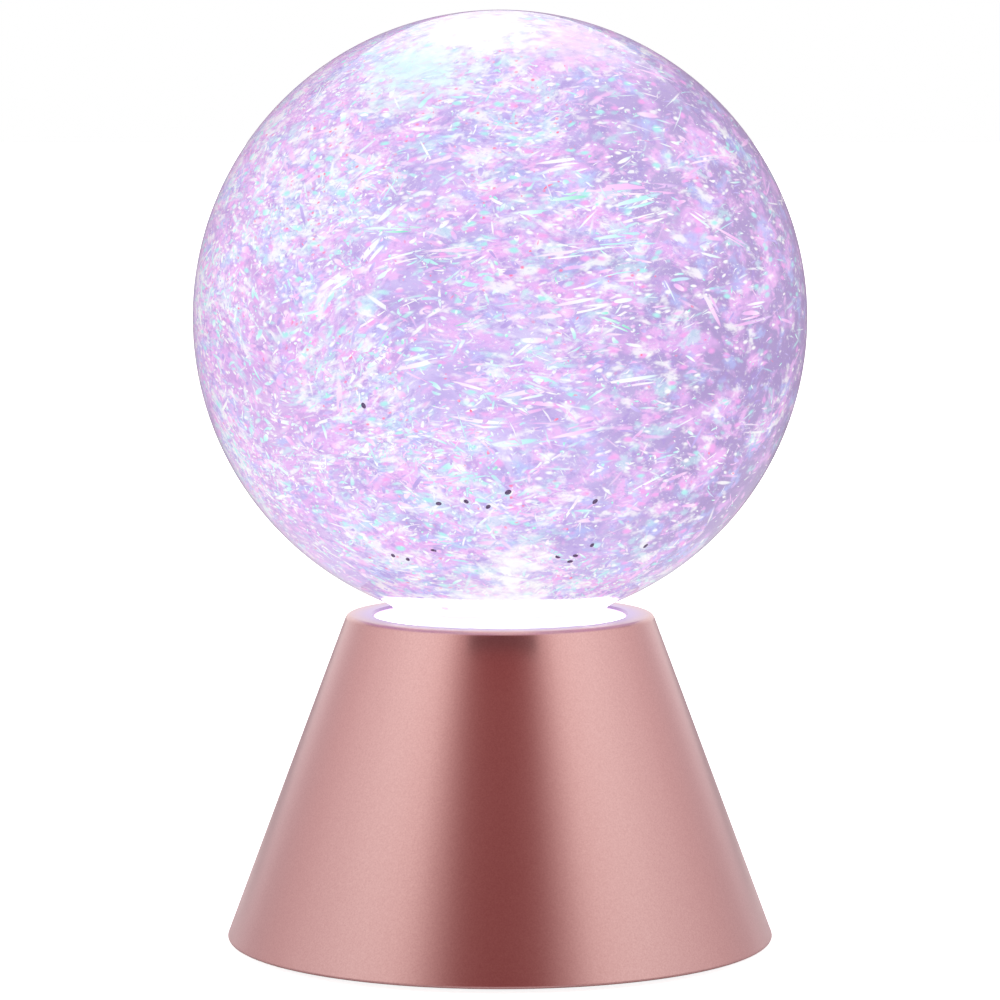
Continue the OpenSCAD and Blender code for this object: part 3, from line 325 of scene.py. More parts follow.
def liquid_colour(tree, film=None):
    """Colour of the lit liquid at a place: lilac haze with pink, pale blue and white drifts along its sweep.

    film is the colour and the share of a flake that floats there, under the glare of the lamps.
    """
    place = add_node(tree, "TexCoord").outputs["Object"]
    middle = add_node(tree, "VectorMath", {0: place, 1: GLOBE_MID}, operation="SUBTRACT").outputs[0]
    spot = add_node(tree, "VectorMath", {0: middle, "Scale": 1 / MM}, operation="SCALE").outputs[0]
    axes = add_node(tree, "SeparateXYZ", {0: spot})
    x, y, z = (axes.outputs[i] for i in range(3))

    def stretched(length, height, shift):
        """Coordinates in which a pattern of size one has this length along the flow and height, in mm."""
        scale = (1 / length, 1 / length, 1 / height)
        return add_node(tree, "VectorMath", {0: flow, 1: scale, 2: (shift, shift, shift)},
                        operation="MULTIPLY_ADD").outputs[0]

    def laid_over(under, over, share):
        """One colour over another, by a share from 0 to 1."""
        return add_node(tree, "Mix", {0: share, 6: under, 7: over}, data_type="RGBA").outputs[2]

    def share_of(source, low, high, most):
        """Share from 0 to most while a pattern goes from low to high."""
        span = {"Value": source, "From Min": low, "From Max": high, "To Max": most}
        return add_node(tree, "MapRange", span, interpolation_type="SMOOTHSTEP").outputs["Result"]

    # bend the drifts with the sweep of the liquid
    past = add_node(tree, "Math", {0: x, 1: -1.0, 2: -EDDY_LEFT}, operation="MULTIPLY_ADD").outputs[0]
    past = add_node(tree, "Math", {0: past, 1: 0.0}, operation="MAXIMUM").outputs[0]
    steep = add_node(tree, "Math", {0: past, 1: EDDY_WIDE}, operation="MINIMUM").outputs[0]
    climb = add_node(tree, "Math", {0: steep, 1: -0.5, 2: past}, operation="MULTIPLY_ADD").outputs[0]
    climb = add_node(tree, "Math", {0: steep, 1: climb}, operation="MULTIPLY").outputs[0]
    above = add_node(tree, "Math", {0: z, 1: EDDY_HIGH}, operation="SUBTRACT").outputs[0]
    above = add_node(tree, "Math", {0: above}, operation="ABSOLUTE").outputs[0]
    bend = share_of(above, EDDY_REACH, 0.0, EDDY_BEND)
    fade = share_of(x, EDDY_END, EDDY_END + EDDY_WIDE, 1.0)
    bend = add_node(tree, "Math", {0: bend, 1: fade}, operation="MULTIPLY").outputs[0]
    front = share_of(y, EDDY_FRONT, -EDDY_FRONT, 1.0)
    bend = add_node(tree, "Math", {0: bend, 1: front}, operation="MULTIPLY").outputs[0]
    swept = add_node(tree, "Math", {0: climb, 1: bend, 2: z}, operation="MULTIPLY_ADD").outputs[0]
    rise = add_node(tree, "Math", {0: z, 1: -SWEEP_LIFT, 2: -SWEEP_RISE}, operation="MULTIPLY_ADD").outputs[0]
    swept = add_node(tree, "Math", {0: x, 1: rise, 2: swept}, operation="MULTIPLY_ADD").outputs[0]
    swirl = add_node(tree, "TexNoise", {"Vector": spot, "Scale": 1 / SWIRL_SIZE, "Detail": 2.0})
    swept = add_node(tree, "Math", {0: swirl.outputs["Fac"], 1: SWIRL_REACH, 2: swept},
                     operation="MULTIPLY_ADD").outputs[0]
    flow = add_node(tree, "CombineXYZ", {0: x, 1: y, 2: swept}).outputs[0]

    haze = add_node(tree, "TexNoise", {"Vector": stretched(*HAZE_GRAIN), "Scale": 1.0, "Detail": 4.0})
    look = ramp(tree, haze.outputs["Fac"], [(0.30, "#B6A0DB"), (0.50, "#CBBAF0"), (0.70, "#DED3FA")])
    # painted shade: the haze is drawn darker and greyer towards the right, and pinker towards the left
    for code, start, full, most in HAZE_SHADE_AND_TINT:
        look = laid_over(look, colour(code), share_of(x, start, full, most))
    # film facing the light in drifts; more of it is bright towards the left
    crowd = add_node(tree, "TexNoise", {"Vector": spot, "Scale": 1 / CROWD_SIZE, "Detail": 1.0})
    right = add_node(tree, "Math", {0: x, 1: CROWD_EDGE}, operation="MAXIMUM").outputs[0]
    crowd = add_node(tree, "Math", {0: right, 1: CROWD_FALL, 2: crowd.outputs["Fac"]},
                     operation="MULTIPLY_ADD").outputs[0]
    crowd = add_node(tree, "Math", {0: crowd, 1: CROWD_WEIGHT, 2: CROWD_LEVEL},
                     operation="MULTIPLY_ADD").outputs[0]
    for length, height, shift, code, low, high, most in DRIFTS:
        drift = add_node(tree, "TexNoise", {"Vector": stretched(length, height, shift), "Scale": 1.0,
                                            "Detail": 3.0, "Roughness": 0.55}).outputs["Fac"]
        drift = add_node(tree, "Math", {0: drift, 1: crowd}, operation="ADD").outputs[0]
        look = laid_over(look, colour(code), share_of(drift, low, high, most))
    for length, height, shift, code, chosen in FLECKS:
        cell = add_node(tree, "TexVoronoi", {"Vector": stretched(length, height, shift), "Scale": 1.0})
        pick = add_node(tree, "SeparateColor", {0: cell.outputs["Color"]}).outputs[0]
        pick = add_node(tree, "Math", {0: pick, 1: crowd}, operation="ADD").outputs[0]
        near = share_of(cell.outputs["Distance"], FLECK_EDGE, FLECK_FULL, FLECK_MOST)
        some = share_of(pick, chosen, chosen + FLECK_SOFT, 1.0)
        share = add_node(tree, "Math", {0: near, 1: some}, operation="MULTIPLY").outputs[0]
        look = laid_over(look, colour(code), share)
    if film:
        look = laid_over(look, *film)
    # the lamps below blow out the top of the ball and the part over the neck
    broken = add_node(tree, "TexNoise", {"Vector": stretched(*GLARE_GRAIN), "Scale": 1.0, "Detail": 3.0})
    broken = add_node(tree, "Math", {0: broken.outputs["Fac"], 1: 0.5}, operation="SUBTRACT").outputs[0]
    for glare_at, inner, outer, code, most in GLARES:
        off = add_node(tree, "VectorMath", {0: spot, 1: glare_at}, operation="DISTANCE").outputs["Value"]
        off = add_node(tree, "Math", {0: broken, 1: GLARE_BREAK, 2: off}, operation="MULTIPLY_ADD").outputs[0]
        look = laid_over(look, colour(code), share_of(off, outer, inner, most))
    return look


def glitter_liquid():
    """Water crowded with iridescent film and lit from below: it glows, and hides what lies behind."""
    made, tree, shader = new_material("Water crowded with iridescent glitter", Base_Color=colour("#000000"),
                                      Roughness=1.0, Specular_IOR_Level=0.0, Emission_Strength=GLOW)
    made.cycles.emission_sampling = "NONE"
    tree.links.new(liquid_colour(tree), shader.inputs["Emission Color"])
    return made


# How far apart flakes start in the rainbow that the film runs through
RAINBOW_SPREAD = 0.7
# Factor that draws a second random number from the first
SECOND_DRAW = 7.3
# Reach of the full middle of the sharpest flake, whose edge is at 0.5, and how much the faintest one covers
FULL_MIDDLE, FAINTEST = 0.36, 0.5


def glitter_film(name, sharp, *tints):
    """Iridescent polyester film cut into flakes, each with shifting tints, that melts into the liquid.

    sharp tells how sharp and bright the faintest flake shows, from 0 to 1.
    """
    made, tree, shader = new_material(name, Base_Color=colour("#000000"), Roughness=1.0,
                                      Specular_IOR_Level=0.0, Emission_Strength=GLOW)
    made.cycles.emission_sampling = "NONE"
    own = add_node(tree, "NewGeometry").outputs["Random Per Island"]
    place = add_node(tree, "TexCoord").outputs["UV"]
    along = add_node(tree, "SeparateXYZ", {0: place}).outputs[0]
    # each flake starts at another point of the rainbow that the film runs through
    shift = add_node(tree, "Math", {0: own, 1: RAINBOW_SPREAD, 2: -RAINBOW_SPREAD / 2},
                     operation="MULTIPLY_ADD").outputs[0]
    along = add_node(tree, "Math", {0: along, 1: shift}, operation="ADD").outputs[0]
    tint = ramp(tree, along, [(0.1 + 0.8 * i / (len(tints) - 1), code) for i, code in enumerate(tints)])
    off = add_node(tree, "VectorMath", {0: place, 1: (0.5, 0.5, 0.0)}, operation="DISTANCE").outputs["Value"]
    # one flake shows sharp and bright, the next one blurred and faint
    turn = add_node(tree, "Math", {0: own, 1: SECOND_DRAW}, operation="MULTIPLY").outputs[0]
    turn = add_node(tree, "Math", {0: turn}, operation="FRACT").outputs[0]
    turn = add_node(tree, "MapRange", {"Value": turn, "To Min": sharp}).outputs["Result"]
    focus = add_node(tree, "MapRange", {"Value": turn, "To Max": FULL_MIDDLE}).outputs["Result"]
    most = add_node(tree, "MapRange", {"Value": turn, "To Min": FAINTEST, "To Max": 1.0}).outputs["Result"]
    share = add_node(tree, "MapRange", {"Value": off, "From Min": 0.5, "From Max": focus, "To Max": most},
                     interpolation_type="SMOOTHSTEP").outputs["Result"]
    tree.links.new(liquid_colour(tree, (tint, share)), shader.inputs["Emission Color"])
    return made


def lit_milky_plastic():
    """Milky polypropylene with lamps right under it: it glows white all over, a little cooler in patches."""
    made, tree, shader = new_material("Milky polypropylene lit from below", Base_Color=colour("#F4F1FA"),
                                      Roughness=0.35, Emission_Strength=3.0)
    place = add_node(tree, "TexCoord").outputs["Object"]
    patch = add_node(tree, "TexNoise", {"Vector": place, "Scale": per_mm(14), "Detail": 2.0})
    tint = ramp(tree, patch.outputs["Fac"], [(0.3, "#F3ECFF"), (0.7, "#FFFFFF")])
    tree.links.new(tint, shader.inputs["Emission Color"])
    return made


# Moulded pieces: size of their patches (mm), and the spread of their tone and of their roughness
MOULD_PATCH, MOULD_TONE, MOULD_ROUGH = 9, 0.1, 0.06
# Plated pieces: size of their grain and stains (mm), darkest and palest tone, spread of their roughness
PLATE_GRAIN, PLATE_STAIN = 0.2, 5
PLATE_DARK, PLATE_PALE, PLATE_ROUGH = 0.82, 1.12, 0.08


def moulded(name, code, dull, grain, depth, **sockets):
    """Moulded plastic or rubber: one tone with duller patches, and the grain of the mould.

    grain and depth are the size and the depth of that grain in millimetres.
    """
    made, tree, shader = new_material(name, **sockets)
    place = add_node(tree, "TexCoord").outputs["Object"]
    skin = add_node(tree, "TexNoise", {"Vector": place, "Scale": per_mm(grain), "Detail": 2.0})
    patch = add_node(tree, "TexNoise", {"Vector": place, "Scale": per_mm(MOULD_PATCH), "Detail": 3.0})
    shade = add_node(tree, "MapRange", {"Value": patch.outputs["Fac"],
                                        "To Min": 1.0 - MOULD_TONE, "To Max": 1.0 + MOULD_TONE})
    tone = add_node(tree, "HueSaturation", {"Color": colour(code), "Value": shade.outputs["Result"]})
    rough = add_node(tree, "MapRange", {"Value": patch.outputs["Fac"],
                                        "To Min": dull - MOULD_ROUGH, "To Max": dull + MOULD_ROUGH})
    bump = add_node(tree, "Bump", {"Height": skin.outputs["Fac"], "Strength": 0.4, "Distance": depth * MM})
    tree.links.new(tone.outputs["Color"], shader.inputs["Base Color"])
    tree.links.new(rough.outputs["Result"], shader.inputs["Roughness"])
    tree.links.new(bump.outputs["Normal"], shader.inputs["Normal"])
    return made


def plated(name, code, dull, stretch):
    """Plated metal: a fine grain and a slight stain.

    stretch squeezes the grain along each axis, which turns it into rolling or turning lines across that axis.
    """
    made, tree, shader = new_material(name, Metallic=1.0)
    place = add_node(tree, "TexCoord").outputs["Object"]
    drawn = add_node(tree, "VectorMath", {0: place, 1: stretch}, operation="MULTIPLY").outputs[0]
    lines = add_node(tree, "TexNoise", {"Vector": drawn, "Scale": per_mm(PLATE_GRAIN), "Detail": 2.0})
    stain = add_node(tree, "TexNoise", {"Vector": place, "Scale": per_mm(PLATE_STAIN), "Detail": 3.0})
    shade = add_node(tree, "MapRange", {"Value": stain.outputs["Fac"],
                                        "To Min": PLATE_DARK, "To Max": PLATE_PALE})
    tone = add_node(tree, "HueSaturation", {"Color": colour(code), "Value": shade.outputs["Result"]})
    rough = add_node(tree, "MapRange", {"Value": lines.outputs["Fac"],
                                        "To Min": dull - PLATE_ROUGH, "To Max": dull + PLATE_ROUGH})
    tree.links.new(tone.outputs["Color"], shader.inputs["Base Color"])
    tree.links.new(rough.outputs["Result"], shader.inputs["Roughness"])
    return made


FINISHES = {
    "rose_gold_paint": satin_metallic_paint(),
    "clear_globe": polished_globe(),
    "glitter_liquid": glitter_liquid(),
    "glitter_film": glitter_film("Iridescent polyester film", 0.0, "#FFD4FA", "#FFFFFF", "#DDFBFC"),
    "milky_cap": lit_milky_plastic(),
    "black_rubber": moulded("Nitrile rubber, moulded matt", "#1B1B1D", 0.75, 0.5, 0.03),
    "steel": plated("Zinc-plated steel", "#BFC3C8", 0.32, (1, 1, 8)),
    "white_plastic": moulded("Natural acetal, moulded", "#E9EAEC", 0.4, 0.6, 0.01, Subsurface_Weight=0.2),
    "magnet_nickel": plated("Nickel-plated magnet", "#C9C6C0", 0.18, (1, 1, 1)),
    "grey_plastic": moulded("Grey ABS, moulded", "#55585E", 0.5, 0.4, 0.02),
    "black_plastic": moulded("Black ABS, spark-eroded mould", "#232427", 0.55, 0.45, 0.05),
    "contact_metal": plated("Nickel-plated spring strip", "#CFC8AE", 0.28, (1, 8, 1)),
    "white_board": moulded("White solder mask on glass epoxy", "#ECECE6", 0.45, 0.8, 0.01),
    "light_emitters": moulded("Silicone lens over phosphor", "#F4E9B8", 0.3, 0.5, 0.01, Emission_Strength=1.2,
                              Emission_Color=colour("#FFF6E6")),
    "green_board": moulded("Green solder mask on glass epoxy", "#1D6B43", 0.4, 0.8, 0.01),
    "cell_jacket": moulded("Silver-grey shrink sleeve", "#8F939B", 0.3, 1.5, 0.01, Metallic=0.6),
    "red_insulation": moulded("Red PVC insulation, extruded", "#A3251C", 0.45, 0.5, 0.01),
    "black_insulation": moulded("Black PVC insulation, extruded", "#202022", 0.45, 0.5, 0.01),
}
for row in frame["record"]["subparts"]:
    nodes[row["node"]].material_slots[0].material = FINISHES[row["material_slot"]]


# Globe and glitter

# Outside of the globe: how far it stays inside the solid, the rounds at the foot and the root of the neck,
# and how far the root stands out half-way up
SKIN_IN, FOOT_ROUND, ROOT_ROUND, ROOT_STEP = 0.02 * MM, 0.5 * MM, 1.6 * MM, 0.25 * MM
# How far the body of the liquid stays above the foot of its solid
LIQUID_LIFT = 0.1 * MM
# Steps of the two turned bodies, up the ball and round it
GLOBE_STEPS, GLOBE_TURNS = 110, 192
LIQUID_STEPS, LIQUID_TURNS = 90, 180


def ball_profile(radius, lowest, count):
    """Profile of a ball about the globe's middle, from height lowest to its top, in angle steps."""
    start = math.asin((lowest - GLOBE_MID.z) / radius)
    angles = [start + (math.pi / 2 - start) * i / count for i in range(count + 1)]
    return [(radius * math.cos(a), GLOBE_MID.z + radius * math.sin(a)) for a in angles]


def globe_profile():
    """Outside of the globe: the foot of the neck, the neck, a soft root and the ball."""
    r = GLOBE_R - SKIN_IN
    root = GLOBE_MID.z - math.sqrt(r * r - (NECK_R + ROOT_ROUND) ** 2)
    neck = [(0.0, NECK_FOOT), (NECK_R - FOOT_ROUND, NECK_FOOT), (NECK_R, NECK_FOOT + FOOT_ROUND),
            (NECK_R, root - ROOT_ROUND), (NECK_R + ROOT_STEP, root - ROOT_ROUND / 2)]
    return neck + ball_profile(r, root, GLOBE_STEPS)[:-1] + [(0.0, GLOBE_MID.z + r)]


def liquid_profile():
    """Body of the liquid: a ball just inside the wall, cut off flat over the stirrer's guard."""
    low = LIQUID_LOW.z + LIQUID_LIFT
    return [(0.0, low)] + ball_profile(LIQUID_R, low, LIQUID_STEPS)[:-1] + [(0.0, GLOBE_MID.z + LIQUID_R)]


globe_skin = new_piece("globe_skin", turned(globe_profile(), GLOBE_TURNS), FINISHES["clear_globe"])
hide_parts("globe")
glitter_body = new_piece("glitter_body", turned(liquid_profile(), LIQUID_TURNS), FINISHES["glitter_liquid"])
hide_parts("glitter_fluid")


# Closer than this to the poles of the sweep, a flake lies from side to side
POLE_NEAR = 0.15


def sweep_at(out):
    """Direction in which the liquid carries a flake that lies in direction out from the globe's middle."""
    x, y, z = (part * FLAKES_OUT / MM for part in out)
    left = min(EDDY_WIDE, max(0.0, -x - EDDY_LEFT))
    left *= min(1.0, max(0.0, (x - EDDY_END) / EDDY_WIDE))
    left *= min(1.0, max(0.0, 0.5 - y / (2 * EDDY_FRONT)))
    near = max(0.0, 1.0 - abs(z - EDDY_HIGH) / EDDY_REACH)
    slope = SWEEP_RISE + SWEEP_LIFT * z + EDDY_BEND * left * near * near * (3 - 2 * near)
    along = Vector((-slope, 0.0, 1.0)).cross(out)
    if along.length < POLE_NEAR:
        along = Vector((0.0, 1.0, 0.0)).cross(out)
    return along.normalized()


# Spread of a flake's lean along it and of its roll across it, as slopes, and of its bow, as a share of length
LEAN, ROLL, BOW = 0.04, 0.2, 0.09
# Longest flake that curls; the long threads lie straight
BOW_LONG = 2.4 * MM
# Ends of the flakes, from square to round
BLUNT = (0.6, 1.0)
# Flakes shorter than this are small, and have fewer corners
SMALL_LONG = 1.2 * MM
SMALL_CORNERS, CORNERS = 6, 10


def lay_flake(bm, draw, out, along, long, wide, radius):
    """One leaf of film in the outer liquid at direction out, with its long side along a direction."""
    uv = bm.loops.layers.uv.verify()
    across = out.cross(along)
    lean = draw.gauss(0, LEAN)
    roll = draw.gauss(0, ROLL)
    corners = SMALL_CORNERS if long < SMALL_LONG else CORNERS
    blunt = draw.uniform(*BLUNT)
    bow = draw.gauss(0, BOW) * min(long, BOW_LONG)
    ring, spread = [], []
    for i in range(corners):
        t = 2 * math.pi * (i + 0.5) / corners
        u = math.copysign(abs(math.cos(t)) ** blunt, math.cos(t)) / 2
        v = math.copysign(abs(math.sin(t)) ** blunt, math.sin(t)) / 2
        level = radius + lean * u * long + roll * v * wide
        level = min(FLAKES_OUT, max(FLAKES_IN, level))
        off = v * wide + bow * (4 * u * u - 0.5)
        way = (out * radius + along * u * long + across * off).normalized()
        ring.append(bm.verts.new(GLOBE_MID + way * level))
        spread.append((0.5 + u, 0.5 + v))
    face = bm.faces.new(ring)
    for loop, place in zip(face.loops, spread):
        loop[uv].uv = place


# Clumps of flakes: their seed and their number
CLUMP_SEED, CLUMP_COUNT = 40, 340
# How likely a place for a clump is kept: in the middle, how fast that falls to the right, and from where
CLUMP_CHANCE, CLUMP_FALL, CLUMP_LEFT = 0.60, 0.40, -0.1
# How far flakes stray from the middle of their clump, along and across the sweep, as angles
CLUMP_LONG, CLUMP_HIGH = 0.110, 0.060


def any_way(draw):
    """Random direction, of any length."""
    return Vector((draw.gauss(0, 1), draw.gauss(0, 1), draw.gauss(0, 1)))


def clump_places(seed, count):
    """Directions of the places where flakes crowd together, fewer of them on the right of the front."""
    draw = random.Random(seed)
    places = []
    while len(places) < count:
        out = any_way(draw).normalized()
        if draw.random() < CLUMP_CHANCE - CLUMP_FALL * max(out.x, CLUMP_LEFT):
            places.append(out)
    return places


CLUMPS = clump_places(CLUMP_SEED, CLUMP_COUNT)
# Flakes stay above this height on the ball, as a share of its radius, clear of the neck
LOWEST = -0.95
# Share of the flakes that is missing at the right, which grows up to a limit, and at the top
THIN_RIGHT, THIN_LIMIT, THIN_TOP = 0.90, 0.60, 0.35
# Where the liquid comes at the eye, on the left, low down and at the upper left: its growth with x and z,
# and its start
FACING = ((-1.6, 0.0, -0.3), (0.0, -1.4, -0.4), (-0.9, 1.1, -0.35))
# What it does to flakes there: how much shorter and wider they look, and how far they stray (degrees)
FACING_SHORT, FACING_WIDE, FACING_STRAY = 0.35, 0.2, 40
# On the right they show more from the edge and stray less
RIGHT_SLIM, RIGHT_CALM = 0.4, 0.5


def scattered_flakes(seed, count, lengths, widths, stray, clumped):
    """Mesh maker for flakes scattered through the outer liquid and laid along its sweep.

    lengths and widths are (usual, spread) of a log-normal size in millimetres, stray is the usual angle off
    the sweep in degrees, and clumped is the share that lies in the clumps.
    """
    def make(bm):
        draw = random.Random(seed)
        placed = 0
        while placed < count:
            if draw.random() < clumped:
                out = draw.choice(CLUMPS)
                along = sweep_at(out)
                out = out + along * draw.gauss(0, CLUMP_LONG) + out.cross(along) * draw.gauss(0, CLUMP_HIGH)
            else:
                out = any_way(draw)
            out.normalize()
            right = max(0.0, out.x)
            thin = min(THIN_LIMIT, THIN_RIGHT * right) + THIN_TOP * max(0.0, out.z)
            if out.z < LOWEST or draw.random() < thin:
                continue
            placed += 1
            facing = max(by_x * out.x + by_z * out.z + start for by_x, by_z, start in FACING)
            facing = min(1.0, max(0.0, facing))
            long = lengths[0] * math.exp(draw.gauss(0, lengths[1])) * (1.0 - FACING_SHORT * facing) * MM
            wide = widths[0] * math.exp(draw.gauss(0, widths[1])) * (1.0 + FACING_WIDE * facing) * MM
            wide = min(wide, long) * (1.0 - RIGHT_SLIM * right)
            spread = stray * (1.0 - RIGHT_CALM * right) + FACING_STRAY * facing
            angle = draw.gauss(0, spread) + draw.choice((0, 180))
            along = Matrix.Rotation(math.radians(angle), 3, out) @ sweep_at(out)
            lay_flake(bm, draw, out, along, long, wide, draw.uniform(FLAKES_IN, FLAKES_TOP))
    return make


def seen_at(x, z):
    """Direction from the globe's middle of what shows here, through the globe, in the photograph's view."""
    off = math.hypot(x, z) * MM
    bent = off / GLOBE_IOR
    angle = math.asin(off / GLOBE_R) - math.asin(bent / GLOBE_R) + math.asin(bent / FLAKES_OUT)
    up = Vector((0, math.sin(VIEW_DOWN), math.cos(VIEW_DOWN)))
    near = Vector((0, -math.cos(VIEW_DOWN), math.sin(VIEW_DOWN)))
    side = Vector((x, 0, 0)) + up * z
    return near * math.cos(angle) + side.normalized() * math.sin(angle)


# A thread is drawn longer and slimmer than it is seen, because its ends and edges are soft
THREAD_LONG, THREAD_WIDE, THREAD_SHARP = 1.5, 0.85, 0.85
# The one beside it: where its middle lies along the thread, how far off it is in widths, and its length and
# width as shares of the thread's
BESIDE_AT, BESIDE_OFF, BESIDE_LONG, BESIDE_WIDE = (0.3, 0.7), (0.8, 1.2), (0.6, 1.0), 0.5


def front_threads(tint):
    """Mesh maker for the long threads of one tint across the front, each with a slimmer one beside it."""
    def make(bm):
        draw = random.Random(tint)
        for x0, z0, x1, z1, wide, own in THREADS:
            if own != tint:
                continue
            start, end = seen_at(x0, z0), seen_at(x1, z1)
            long = (end - start).length * FLAKES_OUT
            beside = draw.choice((-1, 1)) * draw.uniform(*BESIDE_OFF) * wide * MM / FLAKES_OUT
            first = (0.5, 0.0, THREAD_LONG, THREAD_WIDE)
            second = (draw.uniform(*BESIDE_AT), beside, draw.uniform(*BESIDE_LONG), BESIDE_WIDE)
            for place, off, size, share in (first, second):
                out = start.lerp(end, place).normalized()
                along = end - start
                along = (along - out * along.dot(out)).normalized()
                out = (out + out.cross(along) * off).normalized()
                lay_flake(bm, draw, out, along, long * size, wide * share * MM, FLAKES_OUT)
    return make


# Specks: least and greatest size (mm), their length and width as shares of it, and their thickness
SPECK_SEED = 8
SPECK_SIZES = (0.48, 0.60)
SPECK_LONG, SPECK_WIDE, SPECK_THICK = 1.15, 0.85, 0.1 * MM


def dark_specks(bm):
    """Small lens-shaped bubbles and crumbs that sit on the inside of the wall."""
    draw = random.Random(SPECK_SEED)
    for x, z in SPECKS:
        size = draw.uniform(*SPECK_SIZES) * MM
        out = seen_at(x, z)
        turn = Vector((0, 0, 1)).rotation_difference(out).to_matrix().to_4x4()
        spin = Matrix.Rotation(draw.uniform(0, math.pi), 4, "Z")
        place = Matrix.Translation(GLOBE_MID + out * (FLAKES_OUT - SPECK_THICK)) @ turn @ spin
        shape = place @ Matrix.Diagonal((size * SPECK_LONG, size * SPECK_WIDE, SPECK_THICK, 1.0))
        bmesh.ops.create_icosphere(bm, subdivisions=2, radius=1.0, matrix=shape)


TINTS = {
    # tint: finish, how sharp its faintest flake shows, colours along a flake
    "white": ("White polyester film", 0.0, "#FCEBFF", "#FFFFFF", "#FFFFFF", "#E8FBFD"),
    "cyan": ("Cyan-tinted polyester film", 0.0, "#F1FFFF", "#CFF9F8", "#BAF3F1", "#D0E6FD"),
    "pink": ("Pink-tinted polyester film", 0.0, "#FFE9FF", "#FBD0FA", "#F6BDF4", "#E9CAFC"),
    "lilac": ("Lilac-tinted polyester film", 0.0, "#D3C5FB", "#C6B3F0", "#BCA6E6"),
    "rose": ("Rose-red polyester film", 0.0, "#FFB9DA", "#FF8CB8", "#FF7A9A"),
    "mint": ("Mint-green polyester film", 0.0, "#E9FFF9", "#C2F7E9", "#96E8D0"),
    "spark": ("White polyester film, fine cut", 0.6, "#FFFFFF", "#F0FFFF"),
    "mint_spark": ("Mint-green polyester film, fine cut", 0.6, "#F2FFFC", "#C6FFF1", "#A2F0E2"),
}
GLITTER = (
    # name, tint, seed, count, length, width, stray, clumped
    ("glitter_white", "white", 1, 4200, (2.0, 0.58), (0.48, 0.42), 38, 0.70),
    ("glitter_cyan", "cyan", 2, 1750, (2.5, 0.55), (0.70, 0.42), 38, 0.75),
    ("glitter_pink", "pink", 3, 2800, (2.3, 0.55), (0.74, 0.42), 40, 0.50),
    ("glitter_lilac", "lilac", 4, 2000, (2.2, 0.50), (0.80, 0.35), 38, 0.10),
    ("glitter_rose", "rose", 5, 560, (0.8, 0.45), (0.42, 0.30), 50, 0.20),
    ("glitter_mint", "mint", 6, 560, (0.9, 0.45), (0.42, 0.30), 50, 0.40),
    ("glitter_dust", "white", 7, 3100, (0.55, 0.45), (0.28, 0.30), 70, 0.30),
    ("glitter_dots", "spark", 11, 1700, (0.80, 0.40), (0.50, 0.25), 90, 0.50),
    ("glitter_mint_dots", "mint_spark", 12, 1100, (0.85, 0.40), (0.52, 0.25), 90, 0.50),
    ("glitter_trails", "white", 8, 1050, (5.4, 0.45), (0.72, 0.35), 18, 0.75),
    ("glitter_pink_trails", "pink", 9, 560, (6.5, 0.40), (1.10, 0.30), 18, 0.50),
    ("glitter_cyan_trails", "cyan", 10, 640, (5.2, 0.40), (0.75, 0.30), 18, 0.75),
)
films = {tint: glitter_film(*look) for tint, look in TINTS.items()}
flake_pieces = [new_piece(name, scattered_flakes(seed, *shape), films[tint], smooth=False)
                for name, tint, seed, *shape in GLITTER]
for tint in sorted({row[-1] for row in THREADS}):
    finish, _, *tints = TINTS[tint]
    flake_pieces.append(new_piece("glitter_threads_" + tint, front_threads(tint),
                                  glitter_film(finish + ", long threads", THREAD_SHARP, *tints),
                                  smooth=False))
crumbs = moulded("Dark crumbs in the liquid", "#7F6B97", 0.6, 0.2, 0.01)
flake_pieces.append(new_piece("glitter_specks", dark_specks, crumbs))
for piece in flake_pieces:
    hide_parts("glitter_flakes")


# Studio

# Floor: its radius and the distances between which it darkens in reflections (m), how much it is brightened
# for the camera, and the sides of its outline
FLOOR_R, FLOOR_NEAR, FLOOR_FAR = 12.0, 0.15, 0.60
FLOOR_LIFT = 0.85
FLOOR_SIDES = 96


